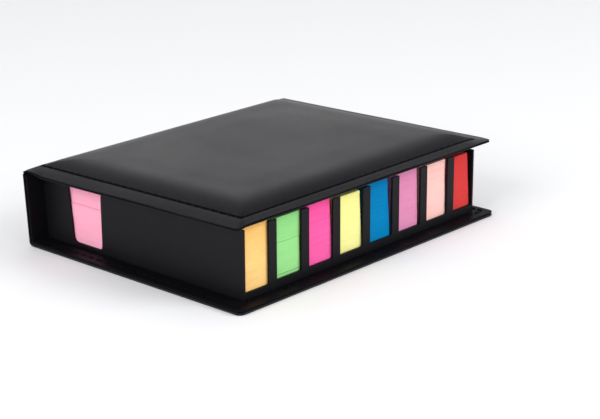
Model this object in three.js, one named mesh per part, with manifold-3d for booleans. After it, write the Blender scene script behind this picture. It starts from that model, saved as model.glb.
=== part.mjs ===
// A memo box in a padded leatherette book cover, millimetres, +Z up.
// X runs along the fore-edge, Y from the fore-edge to the spine, Z from the table up.
// The origin lies on the table under the middle of the closed box.
import * as THREE from "three";
import { mergeVertices } from "three/addons/utils/BufferGeometryUtils.js";
import Module from "manifold-3d";

const wasm = await Module();
wasm.setup();

// Case
const END_OVERHANG = 6.7;
const FORE_OVERHANG = 3.8;
const CORNER_RADIUS = 5;
const SPINE_HEIGHT = 28.6;
const SPINE_LEAN = 1.9;
const COVER_TILT = THREE.MathUtils.degToRad(1.05);
const EDGE_SOFTNESS = 0.5;
const FOLD_RADIUS = 1.2;

// Clearances between layers that are glued, and between pieces that stand beside each other
const LAYER_GAP = 0.15;
const FIT_GAP = 0.3;

// Base and spine layers
const BASE_SKIN_THICKNESS = 1.2;
const SKIN_UNDER_BOARD = 0.4;
const BASE_BOARD_INSET = 4;
const BASE_LINING_THICKNESS = 0.7;
const SPINE_SKIN_THICKNESS = 0.6;
const SPINE_BOARD_THICKNESS = 0.8;
const SPINE_LINING_THICKNESS = 0.4;
const SPINE_BOARD_END_INSET = 2;

// Cover layers, from the lining up
const COVER_LINING_THICKNESS = 0.7;
const COVER_BOARD_THICKNESS = 1.25;
const COVER_BOARD_INSET = 7.4;
const FLANGE_THICKNESS = 1.15;
const FLANGE_SLOPE_DROP = 0.15;
const STITCH_INSET = 4.7;
const STITCH_GROOVE_WIDTH = 0.9;
const STITCH_GROOVE_DEPTH = 0.3;
const STITCH_CORNER_RADIUS = 1.2;
const CROWN_HEIGHT = 3;
const CROWN_SHOULDER_RUN = 14;
const CROWN_SKIN_THICKNESS = 0.8;
const CROWN_CORNER_GROWTH = 8;

// Tray of folded card
const CARD = 0.8;
const WALL_DROP = 1.2;

// Notches of the fore-edge wall, which show the flags
const FLAG_SLOT_PITCH = 17;
const SLOT_POST_WIDTH = 4;
const END_SLOT_WIDTH = 12;
const SLOT_BOTTOM = 5.3;
const SLOT_CORNER_RADIUS = 0.8;

// Notch of the end wall, which shows the notes
const NOTE_SLOT_FROM_FORE_WALL = 71.5;
const NOTE_SLOT_WIDTH = 16;
const NOTE_SLOT_SLANT = 2.6;
const NOTE_SLOT_BOTTOM = 3.6;
const NOTE_SLOT_BOTTOM_RADIUS = 2.2;
const NOTE_SLOT_MOUTH_RADIUS = 3.4;

// Flags and notes
const FLAG_LENGTH = 45;
const FLAG_WIDTH = 12;
const FLAG_PITCH = 16.7;
const FLAG_HEADROOM = 0.7;
const GREEN_PADS_PART_AT = 12.4;
const HOT_PINK_PADS_PART_AT = 20.8;
const NOTE_DEPTH = 51;
const LONG_NOTE_LENGTH = 76;
const NOTE_PLAY = 1.2;
const NOTE_FINGER_ROOM = 4.6;
const NOTE_HEADROOM = 1.2;
const NOTE_PADS_PART_AT = 18.7;
const PAD_PARTING = 0.1;

// Card strips that part the flags from the notes, and the notes from each other
const DIVIDER_DROP = 3.4;

// Facets on a quarter circle, up the crown and on a softened edge
const ARC_STEPS = 6;
const CROWN_STEPS = 7;
const SOFT_EDGE_STEPS = 2;

// Points nearer than this are one point when a shape becomes a solid
const MERGE_DISTANCE = 1e-4;

const flagStacks = [
  { name: "flags_orange", colour: 0xfeda90 },
  { name: "flags_green", colour: 0xa1e596, split: GREEN_PADS_PART_AT },
  { name: "flags_hot_pink", colour: 0xfe6bb4, split: HOT_PINK_PADS_PART_AT },
  { name: "flags_yellow", colour: 0xfefcaf },
  { name: "flags_blue", colour: 0x0287c2 },
  { name: "flags_orchid", colour: 0xe99bbd },
  { name: "flags_blush", colour: 0xffd2cb },
  { name: "flags_red", colour: 0xdd4746 },
];

// Levels and lines that follow from the driving sizes, built out from the flags and the notes
const slotCount = flagStacks.length;
const trayLength =
  (slotCount - 2) * FLAG_SLOT_PITCH + SLOT_POST_WIDTH + 2 * (END_SLOT_WIDTH + CARD);
const caseLength = trayLength + 2 * END_OVERHANG;
const flagRowDepth = CARD + FIT_GAP + FLAG_LENGTH + FIT_GAP;
const noteRowDepth = CARD + FIT_GAP + NOTE_DEPTH + NOTE_FINGER_ROOM + CARD;
const spineLiningDepth =
  SPINE_SKIN_THICKNESS + LAYER_GAP + SPINE_BOARD_THICKNESS + LAYER_GAP;
const spineThickness = spineLiningDepth + SPINE_LINING_THICKNESS;
const baseWidth = FORE_OVERHANG + flagRowDepth + noteRowDepth + LAYER_GAP + spineThickness;
const foreEdgeY = -(baseWidth + SPINE_LEAN) / 2;
const spineFootY = foreEdgeY + baseWidth;
const hingeY = spineFootY + SPINE_LEAN;
const liningBottom = BASE_SKIN_THICKNESS + LAYER_GAP;
const baseTop = liningBottom + BASE_LINING_THICKNESS;
const spineHead = SPINE_HEIGHT - FIT_GAP / 2;
const trayForeY = foreEdgeY + FORE_OVERHANG;
const trayFloorTop = baseTop + CARD;
const padBottom = trayFloorTop + FIT_GAP;
const coverWidth = (hingeY - foreEdgeY) / Math.cos(COVER_TILT);
const flangeBottom = COVER_LINING_THICKNESS + LAYER_GAP;
const flangeTop = flangeBottom + FLANGE_THICKNESS;
const coverBoardTop = flangeBottom + LAYER_GAP + COVER_BOARD_THICKNESS;
const flagForeY = trayForeY + CARD + FIT_GAP;
const dividerForeY = flagForeY + FLAG_LENGTH + FIT_GAP;
const noteForeY = dividerForeY + CARD + FIT_GAP;
const coverUndersideZ = (y) =>
  SPINE_HEIGHT + FIT_GAP / 2 + (hingeY - y) * Math.tan(COVER_TILT);
const flagTop = coverUndersideZ(flagForeY + FLAG_LENGTH) - FLAG_HEADROOM;
const noteTop = coverUndersideZ(noteForeY + NOTE_DEPTH) - NOTE_HEADROOM;
const wallTop = SPINE_HEIGHT - WALL_DROP;
const dividerTop = wallTop - DIVIDER_DROP;

// The spine's outer face at height z, and a face that lies a depth inside it
const leanAt = (z) => (SPINE_LEAN * z) / SPINE_HEIGHT;
const spineFaceY = (z, depth = 0) => spineFootY + leanAt(z) - depth;

const leatherette = (colour) =>
  new THREE.MeshStandardMaterial({ color: colour, roughness: 0.5, metalness: 0 });
const card = (colour) =>
  new THREE.MeshStandardMaterial({ color: colour, roughness: 0.7, metalness: 0 });
const paper = (colour) =>
  new THREE.MeshStandardMaterial({ color: colour, roughness: 0.85, metalness: 0 });

const skinMaterial = leatherette(0x2a2a2d);
const liningMaterial = leatherette(0x1d1d20);
const trayMaterial = card(0x2c2c31);
const boardMaterial = card(0x9a9186);
const foamMaterial = paper(0xd8d6cc);
const notePink = 0xfbb6cb;
const noteYellow = 0xfcf3a6;

function toSolid(geometry) {
  const bare = geometry.index ? geometry.toNonIndexed() : geometry.clone();
  bare.deleteAttribute("normal");
  bare.deleteAttribute("uv");
  const merged = mergeVertices(bare, MERGE_DISTANCE);
  return new wasm.Manifold(
    new wasm.Mesh({
      numProp: 3,
      vertProperties: merged.attributes.position.array,
      triVerts: new Uint32Array(merged.index.array),
    }),
  );
}

function toGeometry(solid) {
  const mesh = solid.getMesh();
  const geometry = new THREE.BufferGeometry();
  geometry.setAttribute("position", new THREE.BufferAttribute(mesh.vertProperties, 3));
  geometry.setIndex(new THREE.BufferAttribute(mesh.triVerts, 1));
  return geometry;
}

const join = (...parts) =>
  toGeometry(parts.map(toSolid).reduce((whole, part) => whole.add(part)));
const cut = (body, ...tools) =>
  toGeometry(tools.map(toSolid).reduce((left, tool) => left.subtract(tool), toSolid(body)));
const common = (a, b) => toGeometry(toSolid(a).intersect(toSolid(b)));

function mesh(name, geometry, material) {
  const made = new THREE.Mesh(geometry, material);
  made.name = name;
  return made;
}

const X = new THREE.Vector3(1, 0, 0);
const Y = new THREE.Vector3(0, 1, 0);
const Z = new THREE.Vector3(0, 0, 1);

// A shape drawn in Y and Z, carried along X from low to high
function alongX(shape, low, high) {
  const geometry = new THREE.ExtrudeGeometry(shape, {
    depth: high - low,
    bevelEnabled: false,
    curveSegments: ARC_STEPS,
  });
  geometry.applyMatrix4(new THREE.Matrix4().makeBasis(Y, Z, X));
  return geometry.translate(low, 0, 0);
}

// A shape drawn in X and Z, carried along Y from low to high
function alongY(shape, low, high) {
  const geometry = new THREE.ExtrudeGeometry(shape, {
    depth: high - low,
    bevelEnabled: false,
    curveSegments: ARC_STEPS,
  });
  const backwards = Y.clone().negate();
  geometry.applyMatrix4(new THREE.Matrix4().makeBasis(X, Z, backwards));
  return geometry.translate(0, high, 0);
}

function block(lowX, highX, lowY, highY, lowZ, highZ) {
  const geometry = new THREE.BoxGeometry(highX - lowX, highY - lowY, highZ - lowZ);
  return geometry.translate((lowX + highX) / 2, (lowY + highY) / 2, (lowZ + highZ) / 2);
}

function polygon(points) {
  return new THREE.Shape(points.map(([a, b]) => new THREE.Vector2(a, b)));
}

// Points round a rectangle with one radius at its fore-edge corners and another at its spine
// corners, anticlockwise from above, the same number for every radius
function roundedOutline({ halfLength, foreY, backY, foreRadius, backRadius }) {
  const corners = [
    { x: halfLength, y: foreY, radius: foreRadius, start: -Math.PI / 2 },
    { x: halfLength, y: backY, radius: backRadius, start: 0 },
    { x: -halfLength, y: backY, radius: backRadius, start: Math.PI / 2 },
    { x: -halfLength, y: foreY, radius: foreRadius, start: Math.PI },
  ];
  return corners.flatMap(({ x, y, radius, start }) =>
    Array.from({ length: ARC_STEPS + 1 }, (_, step) => {
      const angle = start + (step / ARC_STEPS) * (Math.PI / 2);
      const centreX = x - Math.sign(x) * radius;
      const centreY = y === foreY ? y + radius : y - radius;
      return new THREE.Vector2(
        centreX + radius * Math.cos(angle),
        centreY + radius * Math.sin(angle),
      );
    }),
  );
}

// A closed body through a list of rings with equal numbers of points, capped at both ends
function loft(rings) {
  const count = rings[0].length;
  const positions = rings.flat().flatMap((point) => [point.x, point.y, point.z]);
  const triangles = [];
  for (let ring = 0; ring < rings.length - 1; ring += 1) {
    for (let i = 0; i < count; i += 1) {
      const a = ring * count + i;
      const b = ring * count + ((i + 1) % count);
      triangles.push(a, b, b + count, a, b + count, a + count);
    }
  }
  for (const [ring, turned] of [[0, true], [rings.length - 1, false]]) {
    const flat = rings[ring].map((point) => new THREE.Vector2(point.x, point.y));
    for (const [a, b, c] of THREE.ShapeUtils.triangulateShape(flat, [])) {
      const face = [a, b, c].map((i) => i + ring * count);
      triangles.push(...(turned ? face.reverse() : face));
    }
  }
  const geometry = new THREE.BufferGeometry();
  geometry.setAttribute("position", new THREE.Float32BufferAttribute(positions, 3));
  geometry.setIndex(triangles);
  return geometry;
}

// The base's outline as a block with softened edges, which runs on past the spine
function basePlan(low, high) {
  const outline = new THREE.Shape(
    roundedOutline({
      halfLength: caseLength / 2,
      foreY: foreEdgeY,
      backY: hingeY + 2 * CORNER_RADIUS,
      foreRadius: CORNER_RADIUS,
      backRadius: CORNER_RADIUS,
    }),
  );
  const soft = EDGE_SOFTNESS;
  return new THREE.ExtrudeGeometry(outline, {
    depth: high - low - 2 * soft,
    bevelThickness: soft,
    bevelSize: soft,
    bevelOffset: -soft,
    bevelSegments: SOFT_EDGE_STEPS,
  }).translate(0, 0, low + soft);
}

// A sheet that lies flat from the fore-edge and turns up inside the spine's outer face
function turnedSheet(low, high, depth, thickness, foldRadius) {
  const inner = depth + thickness;
  const shape = new THREE.Shape();
  shape.moveTo(foreEdgeY, low);
  shape.lineTo(spineFaceY(low, depth) - foldRadius, low);
  shape.quadraticCurveTo(
    spineFaceY(low, depth),
    low,
    spineFaceY(low + foldRadius, depth),
    low + foldRadius,
  );
  shape.lineTo(spineFaceY(spineHead, depth), spineHead);
  shape.lineTo(spineFaceY(spineHead, inner), spineHead);
  shape.lineTo(spineFaceY(high, inner), high);
  shape.lineTo(foreEdgeY, high);
  return alongX(shape, -caseLength / 2, caseLength / 2);
}

function makeCaseSkin() {
  const sheet = turnedSheet(0, BASE_SKIN_THICKNESS, 0, SPINE_SKIN_THICKNESS, FOLD_RADIUS);
  const trimmed = common(sheet, basePlan(0, SPINE_HEIGHT + CORNER_RADIUS));
  const pocket = block(
    -caseLength / 2 + BASE_BOARD_INSET - LAYER_GAP,
    caseLength / 2 - BASE_BOARD_INSET + LAYER_GAP,
    foreEdgeY + BASE_BOARD_INSET - LAYER_GAP,
    spineFootY - BASE_BOARD_INSET + LAYER_GAP,
    SKIN_UNDER_BOARD,
    liningBottom + CARD,
  );
  return mesh("case_skin", cut(trimmed, pocket), skinMaterial);
}

function makeBaseBoard() {
  const geometry = block(
    -caseLength / 2 + BASE_BOARD_INSET,
    caseLength / 2 - BASE_BOARD_INSET,
    foreEdgeY + BASE_BOARD_INSET,
    spineFootY - BASE_BOARD_INSET,
    SKIN_UNDER_BOARD + LAYER_GAP,
    BASE_SKIN_THICKNESS,
  );
  return mesh("base_board", geometry, boardMaterial);
}

function makeCaseLining() {
  const sheet = turnedSheet(
    liningBottom,
    baseTop,
    spineLiningDepth,
    SPINE_LINING_THICKNESS,
    EDGE_SOFTNESS,
  );
  const plan = basePlan(liningBottom - EDGE_SOFTNESS, SPINE_HEIGHT + CORNER_RADIUS);
  return mesh("case_lining", common(sheet, plan), liningMaterial);
}

function makeSpineBoard() {
  const outer = SPINE_SKIN_THICKNESS + LAYER_GAP;
  const inner = outer + SPINE_BOARD_THICKNESS;
  const foot = liningBottom;
  const head = spineHead - SPINE_BOARD_END_INSET;
  const shape = polygon([
    [spineFaceY(foot, inner), foot],
    [spineFaceY(foot, outer), foot],
    [spineFaceY(head, outer), head],
    [spineFaceY(head, inner), head],
  ]);
  const end = caseLength / 2 - SPINE_BOARD_END_INSET;
  return mesh("spine_board", alongX(shape, -end, end), boardMaterial);
}

// Tray of folded card with its notched walls
const trayBackY = (z) => spineFaceY(z, spineThickness + LAYER_GAP);

function foreWallShape() {
  const half = trayLength / 2;
  const r = SLOT_CORNER_RADIUS;
  const postEdge = (gap) => (gap - slotCount / 2) * FLAG_SLOT_PITCH;
  const shape = new THREE.Shape();
  shape.moveTo(-half, baseTop);
  shape.lineTo(half, baseTop);
  shape.lineTo(half, wallTop);
  for (let slot = slotCount - 1; slot >= 0; slot -= 1) {
    const isLast = slot === slotCount - 1;
    const isFirst = slot === 0;
    const right = isLast ? half - CARD : postEdge(slot + 1) - SLOT_POST_WIDTH / 2;
    const left = isFirst ? -half + CARD : postEdge(slot) + SLOT_POST_WIDTH / 2;
    shape.lineTo(right, wallTop);
    shape.lineTo(right, SLOT_BOTTOM + r);
    shape.quadraticCurveTo(right, SLOT_BOTTOM, right - r, SLOT_BOTTOM);
    shape.lineTo(left + r, SLOT_BOTTOM);
    shape.quadraticCurveTo(left, SLOT_BOTTOM, left, SLOT_BOTTOM + r);
    shape.lineTo(left, wallTop);
  }
  shape.lineTo(-half, wallTop);
  return shape;
}

function endWallOutline() {
  const shape = new THREE.Shape();
  shape.moveTo(trayForeY, baseTop);
  shape.lineTo(trayBackY(baseTop), baseTop);
  shape.lineTo(trayBackY(wallTop), wallTop);
  return shape;
}

function notchedEndWallShape() {
  const front = trayForeY + NOTE_SLOT_FROM_FORE_WALL;
  const back = front + NOTE_SLOT_WIDTH;
  const slanted = (z) =>
    back + (NOTE_SLOT_SLANT * (z - NOTE_SLOT_BOTTOM)) / (wallTop - NOTE_SLOT_BOTTOM);
  const mouth = NOTE_SLOT_MOUTH_RADIUS;
  const r = NOTE_SLOT_BOTTOM_RADIUS;
  const neck = wallTop - mouth;
  const shape = endWallOutline();
  shape.lineTo(slanted(wallTop) + mouth, wallTop);
  shape.quadraticCurveTo(slanted(wallTop), wallTop, slanted(neck), neck);
  shape.lineTo(slanted(NOTE_SLOT_BOTTOM + r), NOTE_SLOT_BOTTOM + r);
  shape.quadraticCurveTo(back, NOTE_SLOT_BOTTOM, back - r, NOTE_SLOT_BOTTOM);
  shape.lineTo(front + r, NOTE_SLOT_BOTTOM);
  shape.quadraticCurveTo(front, NOTE_SLOT_BOTTOM, front, NOTE_SLOT_BOTTOM + r);
  shape.lineTo(front, neck);
  shape.quadraticCurveTo(front, wallTop, front - mouth, wallTop);
  shape.lineTo(trayForeY, wallTop);
  return shape;
}

function plainEndWallShape() {
  const shape = endWallOutline();
  shape.lineTo(trayForeY, wallTop);
  return shape;
}

function makeTray() {
  const half = trayLength / 2;
  const floorShape = polygon([
    [trayForeY, baseTop],
    [trayBackY(baseTop), baseTop],
    [trayBackY(trayFloorTop), trayFloorTop],
    [trayForeY, trayFloorTop],
  ]);
  const backShape = polygon([
    [trayBackY(baseTop) - CARD, baseTop],
    [trayBackY(baseTop), baseTop],
    [trayBackY(wallTop), wallTop],
    [trayBackY(wallTop) - CARD, wallTop],
  ]);
  const geometry = join(
    alongX(floorShape, -half, half),
    alongY(foreWallShape(), trayForeY, trayForeY + CARD),
    alongX(notchedEndWallShape(), -half, -half + CARD),
    alongX(plainEndWallShape(), half - CARD, half),
    alongX(backShape, -half, half),
  );
  return mesh("tray", geometry, trayMaterial);
}

// Card strips that stand on the tray's floor
const innerEnd = trayLength / 2 - CARD - FIT_GAP;
const longNoteEnd = -innerEnd + LONG_NOTE_LENGTH;

function makeLongDivider() {
  const geometry = block(
    -innerEnd,
    innerEnd,
    dividerForeY,
    dividerForeY + CARD,
    padBottom,
    dividerTop,
  );
  return mesh("long_divider", geometry, trayMaterial);
}

function makeCrossDivider() {
  const left = longNoteEnd + FIT_GAP;
  const shape = polygon([
    [noteForeY, padBottom],
    [trayBackY(padBottom) - CARD - FIT_GAP, padBottom],
    [trayBackY(dividerTop) - CARD - FIT_GAP, dividerTop],
    [noteForeY, dividerTop],
  ]);
  return mesh("cross_divider", alongX(shape, left, left + CARD), trayMaterial);
}

// A stack of sheets as one block, or as two blocks where it is parted at a height
function makeStack(name, colour, box, top, split) {
  const material = paper(colour);
  const slab = (low, high) => block(box.lowX, box.highX, box.lowY, box.highY, low, high);
  if (!split) return [mesh(name, slab(padBottom, top), material)];
  return [
    mesh(`${name}_lower`, slab(padBottom, split), material),
    mesh(`${name}_upper`, slab(split + PAD_PARTING, top), material),
  ];
}

function makeFlags() {
  return flagStacks.flatMap(({ name, colour, split }, place) => {
    const centre = (place - (slotCount - 1) / 2) * FLAG_PITCH;
    const box = {
      lowX: centre - FLAG_WIDTH / 2,
      highX: centre + FLAG_WIDTH / 2,
      lowY: flagForeY,
      highY: flagForeY + FLAG_LENGTH,
    };
    return makeStack(name, colour, box, flagTop, split);
  });
}

function makeNotes() {
  const rows = { lowY: noteForeY, highY: noteForeY + NOTE_DEPTH };
  const long = { lowX: -innerEnd, highX: longNoteEnd, ...rows };
  const shortLow = longNoteEnd + FIT_GAP + CARD + FIT_GAP;
  const short = { lowX: shortLow, highX: innerEnd - NOTE_PLAY, ...rows };
  return [
    ...makeStack("notes_pink", notePink, long, noteTop, NOTE_PADS_PART_AT),
    ...makeStack("notes_yellow", noteYellow, short, noteTop),
  ];
}

// Cover, drawn level with its hinge line at y = 0 and its underside at z = 0
function coverRing({ inset, z, foreRadius, backRadius = foreRadius }) {
  const outline = roundedOutline({
    halfLength: caseLength / 2 - inset,
    foreY: -coverWidth + inset,
    backY: -FIT_GAP - inset,
    foreRadius,
    backRadius,
  });
  return outline.map((point) => new THREE.Vector3(point.x, point.y, z));
}

// The crown rises from the stitches on a cubic curve that ends level
const crownRise = (t) => CROWN_HEIGHT * (1 - (1 - t) ** 3);
const crownCorner = (t) => STITCH_CORNER_RADIUS + CROWN_CORNER_GROWTH * t;
const crownStart = STITCH_INSET + STITCH_GROOVE_WIDTH / 2;

function crownRings(from, to, drop, shrink) {
  return Array.from({ length: CROWN_STEPS + 1 }, (_, step) => {
    const t = from + ((to - from) * step) / CROWN_STEPS;
    return coverRing({
      inset: crownStart + CROWN_SHOULDER_RUN * t + shrink,
      z: flangeTop + crownRise(t) - drop,
      foreRadius: crownCorner(t),
    });
  });
}

// How far up the crown its skin clears the board with room for the foam
const foamBottom = coverBoardTop + LAYER_GAP;
const foamEdgeRise = foamBottom + CROWN_SKIN_THICKNESS + FIT_GAP - flangeTop;
const foamEdge = 1 - Math.cbrt(1 - foamEdgeRise / CROWN_HEIGHT);

function makeCoverSkin() {
  const soft = EDGE_SOFTNESS;
  const boardEdge = COVER_BOARD_INSET - LAYER_GAP;
  const underCrown = crownRings(foamEdge, 1, CROWN_SKIN_THICKNESS, 0).reverse();
  const rings = [
    ...underCrown,
    coverRing({ inset: boardEdge, z: foamBottom, foreRadius: STITCH_CORNER_RADIUS }),
    coverRing({ inset: boardEdge, z: flangeBottom, foreRadius: STITCH_CORNER_RADIUS }),
    coverRing({ inset: soft / 2, z: flangeBottom, foreRadius: CORNER_RADIUS, backRadius: soft }),
    coverRing({
      inset: 0,
      z: flangeBottom + soft / 2,
      foreRadius: CORNER_RADIUS,
      backRadius: soft,
    }),
    coverRing({
      inset: 0,
      z: flangeTop - FLANGE_SLOPE_DROP - soft,
      foreRadius: CORNER_RADIUS,
      backRadius: soft,
    }),
    coverRing({
      inset: soft,
      z: flangeTop - FLANGE_SLOPE_DROP,
      foreRadius: CORNER_RADIUS - soft,
      backRadius: soft,
    }),
    coverRing({
      inset: STITCH_INSET - STITCH_GROOVE_WIDTH / 2,
      z: flangeTop,
      foreRadius: STITCH_CORNER_RADIUS,
    }),
    coverRing({
      inset: STITCH_INSET,
      z: flangeTop - STITCH_GROOVE_DEPTH,
      foreRadius: STITCH_CORNER_RADIUS,
    }),
    ...crownRings(0, 1, 0, 0),
  ];
  return mesh("cover_skin", loft(rings), skinMaterial);
}

function makeCoverFoam() {
  const drop = CROWN_SKIN_THICKNESS + LAYER_GAP;
  const top = crownRings(foamEdge, 1, drop, LAYER_GAP);
  const foot = top[0].map((point) => new THREE.Vector3(point.x, point.y, foamBottom));
  return mesh("cover_foam", loft([foot, ...top]), foamMaterial);
}

function coverSheet(inset, low, high, foreRadius, backRadius) {
  return loft([
    coverRing({ inset, z: low, foreRadius, backRadius }),
    coverRing({ inset, z: high, foreRadius, backRadius }),
  ]);
}

function makeCoverBoard() {
  const geometry = coverSheet(
    COVER_BOARD_INSET,
    flangeBottom,
    flangeBottom + COVER_BOARD_THICKNESS,
    STITCH_CORNER_RADIUS,
    STITCH_CORNER_RADIUS,
  );
  return mesh("cover_board", geometry, boardMaterial);
}

function makeCoverLining() {
  const geometry = coverSheet(0, 0, COVER_LINING_THICKNESS, CORNER_RADIUS, EDGE_SOFTNESS);
  return mesh("cover_lining", geometry, liningMaterial);
}

function makeCover() {
  const cover = new THREE.Group();
  cover.add(makeCoverSkin(), makeCoverFoam(), makeCoverBoard(), makeCoverLining());
  cover.position.set(0, hingeY, SPINE_HEIGHT + FIT_GAP / 2);
  cover.rotation.x = -COVER_TILT;
  return cover;
}

function makeCase() {
  const box = new THREE.Group();
  box.add(makeCaseSkin(), makeBaseBoard(), makeCaseLining(), makeSpineBoard());
  box.add(makeTray(), makeLongDivider(), makeCrossDivider());
  box.add(...makeFlags(), ...makeNotes());
  return box;
}

const memoBox = new THREE.Group();
memoBox.add(makeCase(), makeCover());

export default memoBox;
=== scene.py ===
"""Looks of a sticky note memo box with a padded leatherette book cover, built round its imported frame.

Every length is in metres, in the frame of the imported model: X along the fore-edge, Y from the fore-edge to
the spine, Z up, with the origin on the table under the middle of the closed box.
"""
import logging
import math
from dataclasses import dataclass
from enum import Enum

import bmesh
import bpy
import numpy as np
from mathutils import Matrix, Vector


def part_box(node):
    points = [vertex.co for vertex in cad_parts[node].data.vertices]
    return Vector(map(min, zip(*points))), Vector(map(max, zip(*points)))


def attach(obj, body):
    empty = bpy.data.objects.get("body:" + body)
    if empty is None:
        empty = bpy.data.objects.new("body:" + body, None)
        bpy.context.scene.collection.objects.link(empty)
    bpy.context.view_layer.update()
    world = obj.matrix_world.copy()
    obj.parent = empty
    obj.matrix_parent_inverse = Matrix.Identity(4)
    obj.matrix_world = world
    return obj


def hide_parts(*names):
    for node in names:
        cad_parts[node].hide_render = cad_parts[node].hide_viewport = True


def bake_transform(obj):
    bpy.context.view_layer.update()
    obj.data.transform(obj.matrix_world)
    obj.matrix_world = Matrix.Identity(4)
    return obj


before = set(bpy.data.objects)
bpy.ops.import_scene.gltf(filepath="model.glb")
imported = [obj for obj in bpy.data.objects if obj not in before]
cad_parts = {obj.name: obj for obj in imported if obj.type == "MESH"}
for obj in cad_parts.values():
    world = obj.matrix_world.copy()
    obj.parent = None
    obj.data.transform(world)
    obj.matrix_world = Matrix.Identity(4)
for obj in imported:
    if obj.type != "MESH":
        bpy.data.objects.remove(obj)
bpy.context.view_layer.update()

log = logging.getLogger("memo_box")
MM = 0.001
Array = np.ndarray


class Body(Enum):
    """The two bodies of the box, by their names in the frame."""

    CASE = "case"
    COVER = "cover"


def linear(red: float, green: float, blue: float) -> tuple[float, float, float, float]:
    """Turns a colour written in 0 to 255 into the linear values that a shader takes.

    Args:
        red, green, blue: the display values.

    Returns:
        The linear colour with an alpha of 1.
    """
    levels = [value / 255 for value in (red, green, blue)]
    curve = [v / 12.92 if v <= 0.04045 else ((v + 0.055) / 1.055) ** 2.4 for v in levels]
    return (*curve, 1.0)


def node_box(name: str) -> tuple[Array, Array]:
    """Lowest and highest corners of a CAD node, as arrays."""
    low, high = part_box(name)
    return np.array(low), np.array(high)


def make_object(name: str, vertices: Array, faces: list, smooth_angle: float = 0.6) -> bpy.types.Object:
    """Makes a mesh object of its vertices and faces.

    Args:
        name: the piece's name.
        vertices: an array of points, one a row.
        faces: the point numbers of each face.
        smooth_angle: edges that turn by more than this many radians stay sharp.

    Returns:
        The new object, linked to the scene.
    """
    mesh = bpy.data.meshes.new(name)
    mesh.from_pydata(vertices.reshape(-1, 3).tolist(), [], faces)
    mesh.polygons.foreach_set("use_smooth", np.ones(len(mesh.polygons), dtype=bool))
    mesh.set_sharp_from_angle(angle=smooth_angle)
    mesh.update()
    made = bpy.data.objects.new(name, mesh)
    bpy.context.scene.collection.objects.link(made)
    return made


def vertex_array(mesh: bpy.types.Mesh) -> Array:
    """Coordinates of a mesh's vertices, one a row."""
    points = np.empty(len(mesh.vertices) * 3)
    mesh.vertices.foreach_get("co", points)
    return points.reshape(-1, 3)


def write_map(piece: bpy.types.Object, name: str, places: Array) -> None:
    """Gives a piece its own map.

    Args:
        piece: the piece.
        name: the map's name.
        places: U and V of each vertex, one a row.
    """
    layer = piece.data.uv_layers.new(name=name)
    corner = np.empty(len(piece.data.loops), dtype=np.int32)
    piece.data.loops.foreach_get("vertex_index", corner)
    layer.data.foreach_set("uv", places[corner].astype(np.float32).ravel())


def ring_quads(rings: int, count: int, closed: bool = True) -> Array:
    """Quads between neighbouring rings: each joins points i and i + 1 of a ring to those of the next.

    Args:
        rings: how many rings there are.
        count: how many points a ring has.
        closed: whether the last point of a ring joins its first.

    Returns:
        An array of four point numbers a row.
    """
    steps = np.arange(count if closed else count - 1)
    base = np.arange(rings - 1)[:, None] * count
    here = base + steps
    beside = base + (steps + 1) % count
    return np.stack([here, beside, beside + count, here + count], axis=-1).reshape(-1, 4)


def loft(name: str, rings: Array, smooth_angle: float = 0.6) -> bpy.types.Object:
    """A closed body through rings of points, capped at both ends.

    Args:
        name: the piece's name.
        rings: an array of rings by points by three coordinates, anticlockwise from above, from the
            inner end of the underside out round the rim to the middle of the top.
        smooth_angle: edges that turn by more than this many radians stay sharp.

    Returns:
        The new object.
    """
    ring_count, count = rings.shape[:2]
    faces = ring_quads(ring_count, count).tolist()
    faces.append(list(range(count))[::-1])
    faces.append([(ring_count - 1) * count + i for i in range(count)])
    return make_object(name, rings, faces, smooth_angle)


@dataclass(frozen=True)
class RingGrid:
    """How finely a rounded rectangle is drawn: points on a long side, a short side and a corner."""

    long_side: int
    short_side: int
    corner: int

    def outline(self, half: Array, fore: Array, back: Array, fore_radius: Array, back_radius: Array) -> Array:
        """Rounded rectangles, one for each row of the arguments.

        A corner is a quarter circle about its centre, which lies a radius inside both sides, and a side is
        the straight line between two corners.

        Args:
            half: half of each rectangle's length in X.
            fore, back: each rectangle's lowest and highest Y.
            fore_radius, back_radius: the radii of its corners at the low and the high side.

        Returns:
            An array of rectangles by points by two coordinates, anticlockwise from above.
        """
        turn = np.linspace(0, np.pi / 2, self.corner)
        corners = []
        for side, is_fore, start in ((1, True, -0.5), (1, False, 0.0), (-1, False, 0.5), (-1, True, 1.0)):
            radius = (fore_radius if is_fore else back_radius)[:, None]
            centre_x = side * (half[:, None] - radius)
            centre_y = fore[:, None] + radius if is_fore else back[:, None] - radius
            angle = start * np.pi + turn
            on_circle = [centre_x + radius * np.cos(angle), centre_y + radius * np.sin(angle)]
            corners.append(np.stack(on_circle, -1))
        pieces = []
        for place, corner in enumerate(corners):
            after = corners[(place + 1) % 4]
            count = self.short_side if place % 2 == 0 else self.long_side
            share = np.linspace(0, 1, count + 2)[1:-1][None, :, None]
            pieces += [corner, corner[:, -1:] * (1 - share) + after[:, :1] * share]
        return np.concatenate(pieces, axis=1)


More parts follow.
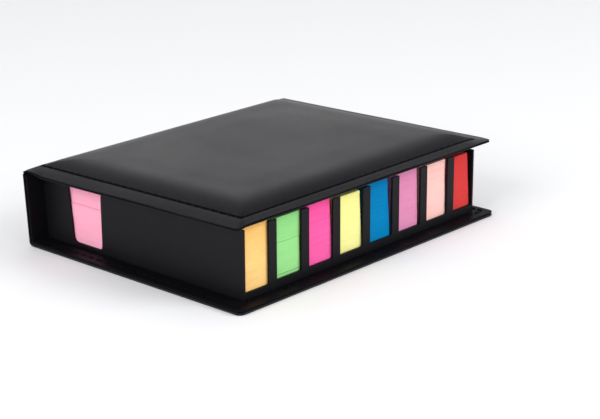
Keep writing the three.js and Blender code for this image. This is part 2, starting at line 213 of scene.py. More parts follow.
class Tree:
    """A node tree under construction, with short calls to add and link nodes."""

    def __init__(self, tree: bpy.types.NodeTree) -> None:
        """Keeps the tree that the nodes go into."""
        self.tree = tree

    def add(self, kind: str, inputs: dict | None = None, **settings: object) -> bpy.types.Node:
        """Adds a node.

        Args:
            kind: the node's type name.
            inputs: a value or an output socket for each input, by its name or number.
            settings: the node's own settings.

        Returns:
            The new node.
        """
        node = self.tree.nodes.new(kind)
        for key, value in settings.items():
            setattr(node, key, value)
        for key, value in (inputs or {}).items():
            if isinstance(value, bpy.types.NodeSocket):
                self.link(value, node.inputs[key])
            else:
                node.inputs[key].default_value = value
        return node

    def link(self, source: bpy.types.NodeSocket, target: bpy.types.NodeSocket) -> None:
        """Joins an output socket to an input socket."""
        self.tree.links.new(source, target)

    def math(self, operation: str, *values: object) -> bpy.types.NodeSocket:
        """Adds a Math node on its values and returns its result."""
        return self.add("ShaderNodeMath", dict(enumerate(values)), operation=operation).outputs[0]

    def spread(self, value: object, low: float, high: float, to_low: float, to_high: float) -> object:
        """Maps a value from one range to another, held at the ends, and returns the result's socket."""
        inputs = {0: value, 1: low, 2: high, 3: to_low, 4: to_high}
        return self.add("ShaderNodeMapRange", inputs, clamp=True).outputs[0]

    def between(self, factor: object, first: object, second: object) -> bpy.types.NodeSocket:
        """Mixes two numbers and returns the result's socket."""
        inputs = {0: factor, 2: first, 3: second}
        return self.add("ShaderNodeMix", inputs, data_type="FLOAT").outputs[0]

    def mix(self, factor: object, first: object, second: object) -> bpy.types.NodeSocket:
        """Mixes two colours and returns the result's socket."""
        inputs = {0: factor, 6: first, 7: second}
        return self.add("ShaderNodeMix", inputs, data_type="RGBA").outputs[2]


def node_group(name: str, inputs: dict[str, float], outputs: tuple[str, ...]) -> tuple[Tree, object, object]:
    """Starts a node group that takes a coordinate and numbers and puts out numbers.

    Args:
        name: the group's name.
        inputs: the named numbers it takes, with their defaults.
        outputs: the named numbers it puts out.

    Returns:
        The tree, its input node and its output node.
    """
    group = bpy.data.node_groups.new(name, "ShaderNodeTree")
    group.interface.new_socket("Coordinates", in_out="INPUT", socket_type="NodeSocketVector")
    for key, value in inputs.items():
        socket = group.interface.new_socket(key, in_out="INPUT", socket_type="NodeSocketFloat")
        socket.default_value = value
    for key in outputs:
        group.interface.new_socket(key, in_out="OUTPUT", socket_type="NodeSocketFloat")
    tree = Tree(group)
    return tree, tree.add("NodeGroupInput"), tree.add("NodeGroupOutput")


def grain_group() -> bpy.types.NodeTree:
    """Pebbled leather grain: rounded cells parted by creases, on a fine noise.

    Returns:
        A group that takes cells per metre, and puts out the grain's height and its creases as a mask.
    """
    numbers = {"Cells": 1100.0, "Unevenness": 0.5}
    tree, given, result = node_group("pebble_grain", numbers, ("Height", "Crease"))
    noise = {"Vector": given.outputs["Coordinates"], "Scale": 420.0, "Detail": 3.0, "Roughness": 0.6}
    warp = tree.add("ShaderNodeTexNoise", noise)
    wide = tree.add("ShaderNodeVectorMath", {0: warp.outputs["Color"], "Scale": 0.0011}, operation="SCALE")
    moved = tree.add("ShaderNodeVectorMath", {0: given.outputs["Coordinates"], 1: wide.outputs[0]})
    cell_inputs = {"Vector": moved.outputs[0], "Scale": given.outputs["Cells"], "Randomness": 0.9}
    cells = tree.add("ShaderNodeTexVoronoi", cell_inputs, feature="DISTANCE_TO_EDGE")
    pebble = tree.spread(cells.outputs["Distance"], 0.0, 0.28, 0.0, 1.0)
    fine_inputs = {"Vector": given.outputs["Coordinates"], "Scale": 5200.0, "Detail": 2.0}
    fine = tree.add("ShaderNodeTexNoise", fine_inputs)
    uneven = tree.math("MULTIPLY", fine.outputs["Fac"], given.outputs["Unevenness"])
    height = tree.math("ADD", pebble, uneven)
    tree.link(height, result.inputs["Height"])
    tree.link(tree.math("SUBTRACT", 1.0, pebble), result.inputs["Crease"])
    return tree.tree


def cloud_group() -> bpy.types.NodeTree:
    """Slow drift of tone over a surface, as from handling.

    Returns:
        A group that takes patches per metre, and puts out a tone from 0 to 1.
    """
    tree, given, result = node_group("handling_cloud", {"Patches": 26.0}, ("Tone",))
    inputs = {"Vector": given.outputs["Coordinates"], "Scale": given.outputs["Patches"], "Detail": 4.0}
    noise = tree.add("ShaderNodeTexNoise", {**inputs, "Roughness": 0.55})
    tree.link(tree.spread(noise.outputs["Fac"], 0.3, 0.7, 0.0, 1.0), result.inputs["Tone"])
    return tree.tree


def dust_group() -> bpy.types.NodeTree:
    """Sparse pale specks of lint and dust.

    Returns:
        A group that takes specks per metre and the radius share of a speck, and puts out a mask.
    """
    tree, given, result = node_group("dust_specks", {"Spacing": 90.0, "Size": 0.035}, ("Mask",))
    inputs = {"Vector": given.outputs["Coordinates"], "Scale": given.outputs["Spacing"], "Randomness": 1.0}
    cells = tree.add("ShaderNodeTexVoronoi", inputs)
    chosen = tree.add("ShaderNodeSeparateColor", {0: cells.outputs["Color"]})
    kept = tree.math("GREATER_THAN", chosen.outputs[0], 0.72)
    size = tree.math("MULTIPLY", given.outputs["Size"], chosen.outputs[1])
    near = tree.math("LESS_THAN", cells.outputs["Distance"], size)
    tree.link(tree.math("MULTIPLY", near, kept), result.inputs["Mask"])
    return tree.tree


def sheet_group() -> bpy.types.NodeTree:
    """Edges of stacked sheets: fine level lines, each with its own tone, that fade along the stack.

    Returns:
        A group that takes sheets per metre of height, and puts out each line's tone and height, and a share
        that rises from 14 to 29 mm of height, for painted shade near the top of a stack under the cover.
    """
    tree, given, result = node_group("sheet_edges", {"Sheets": 10000.0}, ("Tone", "Height", "TopShade"))
    parts = tree.add("ShaderNodeSeparateXYZ", {0: given.outputs["Coordinates"]})
    level = tree.math("MULTIPLY", parts.outputs[2], given.outputs["Sheets"])
    along = {axis: tree.math("MULTIPLY", parts.outputs[axis], 140.0) for axis in (0, 1)}
    place = tree.add("ShaderNodeCombineXYZ", {**along, 2: level})
    fine = tree.add("ShaderNodeTexNoise", {"Vector": place.outputs[0], "Scale": 1.0, "Detail": 2.0})
    slow_level = tree.math("MULTIPLY", level, 0.09)
    slow_place = tree.add("ShaderNodeCombineXYZ", {**along, 2: slow_level})
    slow = tree.add("ShaderNodeTexNoise", {"Vector": slow_place.outputs[0], "Scale": 1.0, "Detail": 3.0})
    fine_part = tree.math("MULTIPLY", fine.outputs["Fac"], 0.6)
    slow_part = tree.math("MULTIPLY", slow.outputs["Fac"], 0.4)
    both = tree.math("ADD", fine_part, slow_part)
    tree.link(tree.spread(both, 0.35, 0.65, 0.0, 1.0), result.inputs["Tone"])
    tree.link(fine.outputs["Fac"], result.inputs["Height"])
    # Share for painted shade near the top of a stack.
    tree.link(tree.spread(parts.outputs[2], 14 * MM, 29 * MM, 0.0, 1.0), result.inputs["TopShade"])
    return tree.tree


def fibre_group() -> bpy.types.NodeTree:
    """Short pressed fibres of card and board.

    Returns:
        A group that takes fibres per metre, and puts out a tone and a height.
    """
    tree, given, result = node_group("pressed_fibre", {"Fibres": 1500.0}, ("Tone", "Height"))
    stretched = tree.add("ShaderNodeMapping", {0: given.outputs["Coordinates"], 3: (0.35, 0.35, 1.0)})
    inputs = {"Vector": stretched.outputs[0], "Scale": given.outputs["Fibres"]}
    noise = tree.add("ShaderNodeTexNoise", {**inputs, "Detail": 5.0, "Roughness": 0.65})
    tree.link(tree.spread(noise.outputs["Fac"], 0.3, 0.7, 0.0, 1.0), result.inputs["Tone"])
    tree.link(noise.outputs["Fac"], result.inputs["Height"])
    return tree.tree


def twist_group() -> bpy.types.NodeTree:
    """Twist of a thread: ridges that run slantwise round it, on its own map.

    Returns:
        A group that takes turns per unit of the map, and puts out a height.
    """
    tree, given, result = node_group("thread_twist", {"Turns": 2.0}, ("Height",))
    parts = tree.add("ShaderNodeSeparateXYZ", {0: given.outputs["Coordinates"]})
    along = tree.math("MULTIPLY", parts.outputs[0], given.outputs["Turns"])
    phase = tree.math("MULTIPLY", tree.math("ADD", along, parts.outputs[1]), 2 * math.pi)
    tree.link(tree.math("SINE", phase), result.inputs["Height"])
    return tree.tree


def seam_group() -> bpy.types.NodeTree:
    """Painted shade of a stitched groove, on a map whose U is 1 along the seam and whose V counts the stitches.

    Returns:
        A group that takes the groove's half-width in U, and puts out a mask that opens between stitches.
    """
    tree, given, result = node_group("seam_shade", {"Reach": 0.14}, ("Mask",))
    parts = tree.add("ShaderNodeSeparateXYZ", {0: given.outputs["Coordinates"]})
    off = tree.math("ABSOLUTE", tree.math("SUBTRACT", parts.outputs[0], 1.0))
    share = tree.math("DIVIDE", off, given.outputs["Reach"])
    inside = tree.spread(share, 0.8, 1.3, 1.0, 0.0)
    wave = tree.math("COSINE", tree.math("MULTIPLY", parts.outputs[1], 2 * math.pi))
    opening = tree.spread(wave, 0.86, 0.98, 0.0, 0.75)
    kept = tree.math("SUBTRACT", 1.0, opening)
    tree.link(tree.math("MULTIPLY", inside, kept), result.inputs["Mask"])
    return tree.tree


class Effects:
    """The shared effects, each built once and placed in every material that uses it."""

    def __init__(self) -> None:
        """Builds the groups."""
        self.grain = grain_group()
        self.cloud = cloud_group()
        self.dust = dust_group()
        self.sheets = sheet_group()
        self.fibre = fibre_group()
        self.twist = twist_group()
        self.seam = seam_group()


def start_material(name: str) -> tuple[bpy.types.Material, Tree, bpy.types.Node]:
    """Starts a material with its own Principled shader.

    Args:
        name: the material's name.

    Returns:
        The material, its tree and the shader node.
    """
    material = bpy.data.materials.new(name)
    material.use_nodes = True
    material.node_tree.nodes.clear()
    tree = Tree(material.node_tree)
    shader = tree.add("ShaderNodeBsdfPrincipled")
    tree.add("ShaderNodeOutputMaterial", {"Surface": shader.outputs[0]})
    return material, tree, shader


def use_group(tree: Tree, group: bpy.types.NodeTree, coordinates: object, **values: float) -> bpy.types.Node:
    """Places a group in a tree.

    Args:
        tree: the material's tree.
        group: the shared effect.
        coordinates: the socket that the effect reads its place from.
        values: the effect's own numbers, by name.

    Returns:
        The group's node.
    """
    node = tree.add("ShaderNodeGroup", node_tree=group)
    tree.link(coordinates, node.inputs["Coordinates"])
    for key, value in values.items():
        node.inputs[key].default_value = value
    return node


def add_relief(tree: Tree, shader: bpy.types.Node, height: object, distance: float, strength: float = 1.0) -> None:
    """Lets a height stand out of a surface.

    Args:
        tree: the material's tree.
        shader: its shader.
        height: the height's socket.
        distance: how far a height of 1 stands out.
        strength: how much of it shows.
    """
    bump = tree.add("ShaderNodeBump", {"Height": height, "Distance": distance, "Strength": strength})
    tree.link(bump.outputs[0], shader.inputs["Normal"])


@dataclass(frozen=True)
class Leatherette:
    """Embossed leatherette: a satin black sheet with a fine pebble grain, handled and a little dusty, with painted
    shade in its creases.
    """

    name: str
    colour: tuple[float, float, float]
    worn_colour: tuple[float, float, float]
    roughness: float
    gloss: float
    cells: float = 1150.0
    relief: float = 0.06 * MM
    dust_size: float = 0.03
    painted_seam_shade: bool = False

    def material(self, effects: Effects) -> bpy.types.Material:
        """Builds the material of its effects."""
        made, tree, shader = start_material(self.name)
        place = tree.add("ShaderNodeTexCoord").outputs["Object"]
        grain = use_group(tree, effects.grain, place, Cells=self.cells)
        cloud = use_group(tree, effects.cloud, place, Patches=24.0)
        dust = use_group(tree, effects.dust, place, Size=self.dust_size)
        body = tree.mix(cloud.outputs["Tone"], linear(*self.colour), linear(*self.worn_colour))
        # Painted shade: the grain's creases darken towards near black.
        crease_shaded = tree.mix(tree.math("MULTIPLY", grain.outputs["Crease"], 0.35), body, linear(5, 5, 6))
        dusted = tree.mix(tree.math("MULTIPLY", dust.outputs["Mask"], 0.45), crease_shaded, linear(170, 168, 165))
        shader.inputs["Specular IOR Level"].default_value = self.gloss
        # Painted shade in the seam's groove: the colour darkens and the gloss drops along the stitch line, less
        # between stitches.
        if self.painted_seam_shade:
            own_map = tree.add("ShaderNodeTexCoord").outputs["UV"]
            painted_groove_shade = use_group(tree, effects.seam, own_map).outputs["Mask"]
            dusted = tree.mix(painted_groove_shade, dusted, linear(5, 5, 6))
            groove_shaded_gloss = tree.spread(painted_groove_shade, 0.0, 1.0, self.gloss, 0.03)
            tree.link(groove_shaded_gloss, shader.inputs["Specular IOR Level"])
        tree.link(dusted, shader.inputs["Base Color"])
        rough = tree.math("ADD", tree.spread(cloud.outputs["Tone"], 0.0, 1.0, -0.03, 0.05), self.roughness)
        dry = tree.math("ADD", rough, tree.math("MULTIPLY", dust.outputs["Mask"], 0.3))
        tree.link(dry, shader.inputs["Roughness"])
        add_relief(tree, shader, grain.outputs["Height"], self.relief, 0.6)
        return made


@dataclass(frozen=True)
class Card:
    """Faced card or board with pressed fibres."""

    name: str
    colour: tuple[float, float, float]
    fibre_colour: tuple[float, float, float]
    roughness: float
    gloss: float
    fibres: float = 1500.0
    relief: float = 0.03 * MM

    def material(self, effects: Effects) -> bpy.types.Material:
        """Builds the material of its effects."""
        made, tree, shader = start_material(self.name)
        place = tree.add("ShaderNodeTexCoord").outputs["Object"]
        fibre = use_group(tree, effects.fibre, place, Fibres=self.fibres)
        cloud = use_group(tree, effects.cloud, place, Patches=40.0)
        blend = tree.math("MULTIPLY", tree.math("ADD", fibre.outputs["Tone"], cloud.outputs["Tone"]), 0.5)
        body = tree.mix(blend, linear(*self.colour), linear(*self.fibre_colour))
        tree.link(body, shader.inputs["Base Color"])
        rough = tree.math("ADD", tree.spread(cloud.outputs["Tone"], 0.0, 1.0, -0.04, 0.04), self.roughness)
        tree.link(rough, shader.inputs["Roughness"])
        shader.inputs["Specular IOR Level"].default_value = self.gloss
        add_relief(tree, shader, fibre.outputs["Height"], self.relief, 0.5)
        return made


@dataclass(frozen=True)
class Paper:
    """Stacked coloured sheets: level sheet edges with their own tones, matt, with painted shade towards the top of
    the stack.
    """

    name: str
    colour: tuple[float, float, float]
    shade: tuple[float, float, float]
    relief: float = 0.04 * MM

    def material(self, effects: Effects) -> bpy.types.Material:
        """Builds the material of its effects."""
        made, tree, shader = start_material(self.name)
        place = tree.add("ShaderNodeTexCoord").outputs["Object"]
        sheets = use_group(tree, effects.sheets, place)
        fibre = use_group(tree, effects.fibre, place, Fibres=2600.0)
        tone = tree.math("MULTIPLY", sheets.outputs["Tone"], 0.55)
        lined = tree.mix(tone, linear(*self.colour), linear(*self.shade))
        specked = tree.mix(tree.math("MULTIPLY", fibre.outputs["Tone"], 0.12), lined, linear(*self.shade))
        # Painted shade: sheets high in a stack, under the cover's overhang, turn towards the shade colour.
        upper = tree.math("MULTIPLY", sheets.outputs["TopShade"], 0.6)
        top_shaded = tree.mix(upper, specked, linear(*self.shade))
        tree.link(top_shaded, shader.inputs["Base Color"])
        shader.inputs["Roughness"].default_value = 0.85
        shader.inputs["Specular IOR Level"].default_value = 0.08
        add_relief(tree, shader, sheets.outputs["Height"], self.relief, 0.5)
        return made


@dataclass(frozen=True)
class Foam:
    """Thin open-cell foam padding, with painted shade in its pores."""

    name: str = "foam"
    colour: tuple[float, float, float] = (216, 214, 204)
    pore_shade_colour: tuple[float, float, float] = (168, 164, 150)
    relief: float = 0.1 * MM

    def material(self, effects: Effects) -> bpy.types.Material:
        """Builds the material of its effects."""
        made, tree, shader = start_material(self.name)
        place = tree.add("ShaderNodeTexCoord").outputs["Object"]
        grain = use_group(tree, effects.grain, place, Cells=1900.0)
        # Painted shade: the pores turn to a darker colour.
        shaded_pores = tree.mix(grain.outputs["Crease"], linear(*self.colour), linear(*self.pore_shade_colour))
        tree.link(shaded_pores, shader.inputs["Base Color"])
        shader.inputs["Roughness"].default_value = 0.95
        add_relief(tree, shader, grain.outputs["Height"], self.relief)
        return made


@dataclass(frozen=True)
class Thread:
    """Waxed black sewing thread, twisted."""

    name: str = "thread"
    colour: tuple[float, float, float] = (8, 8, 9)
    lint_colour: tuple[float, float, float] = (34, 34, 38)
    relief: float = 0.06 * MM

    def material(self, effects: Effects) -> bpy.types.Material:
        """Builds the material of its effects."""
        made, tree, shader = start_material(self.name)
        coordinates = tree.add("ShaderNodeTexCoord")
        twist = use_group(tree, effects.twist, coordinates.outputs["UV"], Turns=2.0)
        cloud = use_group(tree, effects.cloud, coordinates.outputs["Object"], Patches=700.0)
        tone = tree.math("MULTIPLY", cloud.outputs["Tone"], 0.5)
        body = tree.mix(tone, linear(*self.colour), linear(*self.lint_colour))
        tree.link(body, shader.inputs["Base Color"])
        shader.inputs["Roughness"].default_value = 0.5
        shader.inputs["Specular IOR Level"].default_value = 0.06
        add_relief(tree, shader, twist.outputs["Height"], self.relief)
        return made


class Finishes:
    """The finish of every material slot, made once."""

    def __init__(self) -> None:
        """Builds the shared effects, then each finish."""
        effects = Effects()
        # The cover's skin, with painted shade in its seam groove.
        painted_seam_shade = Leatherette("leatherette_sewn", (19, 19, 23), (25, 25, 30), roughness=0.38, gloss=0.5, painted_seam_shade=True)
        skin = Leatherette("leatherette", (17, 17, 21), (22, 22, 26), roughness=0.42, gloss=0.22)
        smooth = {"cells": 2200.0, "relief": 0.02 * MM, "dust_size": 0.012}
        lining = Leatherette("lining", (15, 14, 19), (20, 18, 24), roughness=0.5, gloss=0.12, **smooth)
        card = Card("tray_card", (11, 11, 15), (17, 17, 21), roughness=0.52, gloss=0.17)
        coarse = {"fibres": 900.0, "relief": 0.08 * MM}
        board = Card("greyboard", (154, 145, 134), (122, 114, 104), roughness=0.85, gloss=0.3, **coarse)
        self.painted_seam_shade = painted_seam_shade.material(effects)
        self.leatherette = skin.material(effects)
        self.lining = lining.material(effects)
        self.thread = Thread().material(effects)
        self.foam = Foam().material(effects)
        self.tray_card = card.material(effects)
        self.greyboard = board.material(effects)
        papers = (
            Paper("paper_orange", (255, 221, 150), (252, 188, 96)),
            Paper("paper_green", (164, 232, 152), (140, 214, 128)),
            Paper("paper_hot_pink", (254, 112, 182), (250, 76, 156)),
            Paper("paper_yellow", (254, 252, 172), (246, 238, 140)),
            Paper("paper_blue", (4, 136, 192), (2, 116, 176)),
            Paper("paper_orchid", (230, 152, 190), (214, 132, 172)),
            Paper("paper_blush", (255, 212, 204), (248, 190, 182)),
            Paper("paper_red", (222, 72, 70), (202, 52, 54)),
            Paper("paper_note_pink", (250, 178, 200), (238, 156, 182)),
            Paper("paper_note_yellow", (250, 240, 168), (238, 222, 136)),
        )
        self.papers = {paper.name: paper.material(effects) for paper in papers}


def dress(piece: bpy.types.Object, material: bpy.types.Material, slot: str, body: Body, *nodes: str) -> None:
    """Gives a finished piece its material and its body, and hides the CAD nodes that it stands for.

    Args:
        piece: the piece.
        material: its finish.
        slot: the record's slot that the finish belongs to; not used.
        body: the body that it rides on.
        nodes: the CAD nodes that it replaces.
    """
    piece.data.materials.clear()
    piece.data.materials.append(material)
    if nodes:
        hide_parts(*nodes)
    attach(piece, body.value)
    log.info("piece %s rides on %s, %d faces", piece.name, body.value, len(piece.data.polygons))


def dress_node(name: str, material: bpy.types.Material) -> None:
    """Gives a CAD node that keeps its shape a better material."""
    for material_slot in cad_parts[name].material_slots:
        material_slot.material = material
    log.info("node %s keeps its shape", name)


@dataclass(frozen=True)
class Seam:
    """A row of stitches along a line, each a short thread that dips into the leather at both ends."""

    pitch: float = 4.2 * MM
    thread: float = 0.5 * MM
    share: float = 0.88
    bluntness: float = 2.6
    sunk: float = 0.34
    along: int = 9
    around: int = 8

    def build(self, name: str, line: Array, closed: bool) -> bpy.types.Object:
        """Lays the stitches.

        A stitch is a tube about a stretch of the line. Its radius follows an ellipse that closes at both
        ends, and its middle stands a third of the thread above its ends.

        Args:
            name: the piece's name.
            line: points of the line, one a row, lying on the leather's face.
            closed: whether the line's end joins its start.

        Returns:
            The new object, with a map that runs along and round each thread.
        """
        path = np.vstack([line, line[:1]]) if closed else line
        reach = np.concatenate([[0], np.cumsum(np.linalg.norm(np.diff(path, axis=0), axis=1))])
        count = max(1, round(reach[-1] / self.pitch))
        pitch = reach[-1] / count
        share = np.linspace(0, 1, self.along)
        station = (np.arange(count)[:, None] + 0.5 + (share - 0.5) * self.share) * pitch
        centre = np.stack([np.interp(station, reach, path[:, axis]) for axis in range(3)], -1)
        tangent = np.gradient(centre, axis=1)
        tangent /= np.linalg.norm(tangent, axis=-1, keepdims=True)
        across = np.cross(np.array([0.0, 0.0, 1.0]), tangent)
        across /= np.linalg.norm(across, axis=-1, keepdims=True)
        upward = np.cross(tangent, across)
        swell = np.sqrt(np.clip(1 - np.abs(2 * share - 1) ** self.bluntness, 0.02, None))
        angle = np.linspace(0, 2 * np.pi, self.around, endpoint=False)
        radius = self.thread / 2 * swell[None, :, None, None]
        lift = (self.thread * (0.5 * swell - self.sunk))[None, :, None, None]
        side = np.cos(angle)[None, None, :, None] * across[:, :, None, :] * radius
        rise = np.sin(angle)[None, None, :, None] * upward[:, :, None, :] * radius
        points = centre[:, :, None, :] + side + rise + upward[:, :, None, :] * lift
        size = self.along * self.around
        quads = ring_quads(self.along, self.around)[:, ::-1]
        caps = np.stack([np.arange(self.around), np.arange(self.around)[::-1] + size - self.around])
        starts = np.arange(count)[:, None, None] * size
        faces = (quads[None] + starts).reshape(-1, 4).tolist()
        faces += (caps[None] + starts).reshape(-1, self.around).tolist()
        made = make_object(name, points, faces, smooth_angle=1.4)
        number = np.arange(count * size)
        step = (number % size) // self.around
        turn = number % self.around
        reached = step * pitch * self.share / (self.along - 1) / self.thread
        write_map(made, "thread", np.stack([reached, turn / self.around], -1))
        return made


@dataclass(frozen=True)
class Cover:
    """The padded cover: skin, stitches, foam, board and lining, drawn level about its hinge line."""

    tilt: float = math.radians(1.05)
    corner: float = 1.2 * MM
    soft: float = 0.5 * MM
    hinge_gap: float = 0.3 * MM
    lining: float = 0.7 * MM
    lining_soft: float = 0.3 * MM
    layer_gap: float = 0.15 * MM
    board: float = 1.25 * MM
    board_inset: float = 7.4 * MM
    flange: float = 1.15 * MM
    stitch_inset: float = 4.7 * MM
    groove: float = 1.1 * MM
    groove_depth: float = 0.65 * MM
    flange_drop: float = 0.7 * MM
    end_extra: float = 1.4 * MM
    fore_less: float = 0.9 * MM
    back_less: float = 2.2 * MM
    stitch_corner: float = 0.6 * MM
    crown: float = 3 * MM
    shoulder: float = 14 * MM
    crown_skin: float = 0.8 * MM
    corner_growth: float = 8 * MM
    middle_half: float = 1.2 * MM
    middle_rings: int = 13
    rim_steps: int = 9
    slope_steps: int = 5
    back_corner: float = 0.6 * MM
    bridge: float = 0.35
    bridge_reach: float = 0.4 * MM
    pucker: float = 0.04 * MM
    pucker_reach: float = 1.4 * MM
    dome: float = 0.5 * MM
    wave: float = 0.1 * MM
    flutter: float = 0.09 * MM
    fore_sag: float = 0.3 * MM
    end_sag: float = 1.05 * MM
    spine_clear: float = 3 * MM
    spine_fade: float = 6 * MM
    hinge_roll: float = 1.05 * MM
    hinge_roll_run: float = 2.2 * MM
    far_end_drop: float = 0.85 * MM
    far_end_run: float = 14 * MM
    grid: RingGrid = RingGrid(long_side=262, short_side=196, corner=12)
    seam: Seam = Seam()

    @property
    def half_length(self) -> float:
        """Half of the cover's length, from the frame."""
        return float(node_box("cover_lining")[1][0])

    @property
    def hinge(self) -> Array:
        """A point on the hinge line, from the frame."""
        low, high = node_box("case_skin")
        return np.array([0.0, high[1], high[2] + self.hinge_gap])

    @property
    def width(self) -> float:
        """From the fore-edge to the hinge line, along the tilted cover."""
        low = node_box("case_skin")[0]
        return (self.hinge[1] - low[1]) / math.cos(self.tilt)

    def place(self, points: Array) -> Array:
        """Lets level points sag beyond the board at two rims, then turns them to the tilt at the hinge.

        The near end sags the most, and its sag fades out towards the hinge, where the spine stands.
        """
        y, z = points[..., 1], points[..., 2]
        fore = self.fore_sag * np.clip(1 - (y + self.width) / self.board_inset, 0, 1) ** 2
        end = self.end_sag * np.clip(1 - (points[..., 0] + self.half_length) / self.board_inset, 0, 1) ** 1.5
        z = z - np.maximum(fore, end * self.clear_of_spine(y))
        turned_y = y * math.cos(self.tilt) + z * math.sin(self.tilt)
        turned_z = z * math.cos(self.tilt) - y * math.sin(self.tilt)
        return np.stack([points[..., 0], turned_y, turned_z], -1) + self.hinge

    def rings(self, inset: Array, height: Array, fore_radius: Array, back_radius: Array, grid: RingGrid,
              skew: bool = True) -> Array:
        """Level rings at insets from the cover's outline and heights above its underside.

        Args:
            inset, height: each ring's inset and height.
            fore_radius, back_radius: the radii of its corners.
            grid: how finely it is drawn.
            skew: whether the rings move with the seam, which lies further in at the ends than at the
                fore-edge, and least at the hinge.

        Returns:
            An array of rings by points by three coordinates.
        """
        share = np.clip(inset / self.stitch_inset, 0, 1) * (1.0 if skew else 0.0)
        flat = grid.outline(
            self.half_length - inset - self.end_extra * share,
            -self.width + inset - self.fore_less * share,
            -self.hinge_gap - inset + self.back_less * share,
            fore_radius,
            back_radius,
        )
        level = np.broadcast_to(height[:, None, None], (*flat.shape[:2], 1))
        return np.concatenate([flat, level], axis=-1)

    def clear_of_spine(self, y: Array) -> Array:
        """Share of a sag that is kept at Y: none at the hinge line, all of it beyond the spine."""
        return np.clip((-y - self.spine_clear) / self.spine_fade, 0, 1)

    def settle(self, points: Array) -> Array:
        """Lowers level points of the skin's upper side where it rolls to the hinge and thins at the far end.

        The roll is a quarter of an ellipse, and the far end falls away on a smooth step. Both act in full
        on the flange's face and above, and not at all on its underside.

        Args:
            points: level points of the skin or of its stitches.

        Returns:
            The lowered points.
        """
        x, y, z = points[..., 0], points[..., 1], points[..., 2]
        near_hinge = 1 - np.clip((-y - self.hinge_gap) / self.hinge_roll_run, 0, 1)
        roll = self.hinge_roll * (1 - np.sqrt(1 - near_hinge ** 2))
        away = np.clip((self.half_length - x) / self.far_end_run, 0, 1)
        fall = self.far_end_drop * (1 - away * away * (3 - 2 * away))
        near = np.clip(1 - (x + self.half_length) / self.board_inset, 0, 1) ** 1.5
        end = self.end_sag * near * (1 - self.clear_of_spine(y))
        share = np.clip((z - self.flange_bottom) / self.flange, 0, 1)
        return np.stack([x, y, z - np.maximum(np.maximum(roll, fall), end) * share], -1)

    @property
    def flange_bottom(self) -> float:
        """Height of the flange's underside."""
        return self.lining + self.layer_gap

    @property
    def flange_top(self) -> float:
        """Height of the flange's face at the stitches."""
        return self.flange_bottom + self.flange

    @property
    def board_top(self) -> float:
        """Height of the board's face, with the clearance over it."""
        return self.flange_bottom + self.layer_gap + self.board

    def crown_rise(self, share: Array) -> Array:
        """Height of the crown's face at a share of its shoulder: a cubic curve that ends level."""
        return self.flange_top + self.crown * (1 - (1 - share) ** 3)

    def crown_rings(self, start: float, drop: float, shrink: float, steps: int) -> tuple[Array, Array, Array]:
        """Insets, heights and corner radii of the crown from a share of its shoulder to the middle.

        Args:
            start: the share of the shoulder at which the rings start.
            drop: how far the rings lie under the crown's face.
            shrink: how far they lie inside it.
            steps: how many rings the shoulder has.

        Returns:
            The insets, the heights and the radii.
        """
        share = start + (1 - start) * np.linspace(0, 1, steps) ** 1.3
        first = self.stitch_inset + self.groove / 2
        inset = first + self.shoulder * share + shrink
        radius = self.stitch_corner + self.corner_growth * share
        half_width = (self.width - self.hinge_gap) / 2
        flat_inset = np.linspace(inset[-1], half_width - self.middle_half, self.middle_rings + 1)[1:]
        flat_radius = np.minimum(radius[-1], half_width - flat_inset)
        flat_height = np.full(self.middle_rings, self.crown_rise(1.0) - drop)
        return (
            np.concatenate([inset, flat_inset]),
            np.concatenate([self.crown_rise(share) - drop, flat_height]),
            np.concatenate([radius, flat_radius]),
        )

    def foam_start(self) -> float:
        """Share of the shoulder at which the crown clears the board and its own skin."""
        needed = (self.board_top + self.crown_skin + 2 * self.layer_gap - self.flange_top) / self.crown
        return 1 - (1 - needed) ** (1 / 3)

    def rim(self) -> tuple[Array, Array, Array, Array]:
        """Insets, heights and radii of the flange, from the pocket's edge round the rim to the stitches.

        The rim is an ellipse in section, and the flange rises a little from it to the stitches.
        """
        turn = np.linspace(-np.pi / 2, np.pi / 2, self.rim_steps)
        edge_top = self.flange_top - self.flange_drop
        half = (edge_top - self.flange_bottom) / 2
        rim_inset = self.soft * (1 - np.cos(turn))
        rim_height = self.flange_bottom + half + half * np.sin(turn)
        slope = np.linspace(0, 1, self.slope_steps + 1)[1:]
        inner = self.stitch_inset - self.groove / 2
        slope_inset = self.soft + (inner - self.soft) * slope
        slope_height = self.flange_top - self.flange_drop * (1 - slope) ** 1.25
        corner = np.concatenate([
            np.maximum(self.corner - rim_inset, 0),
            self.corner - self.soft + (self.stitch_corner - self.corner + self.soft) * slope,
        ])
        back = np.concatenate([
            np.full(self.rim_steps, self.back_corner),
            self.back_corner + (self.stitch_corner - self.back_corner) * slope,
        ])
        insets = np.concatenate([rim_inset, slope_inset])
        return insets, np.concatenate([rim_height, slope_height]), corner, back

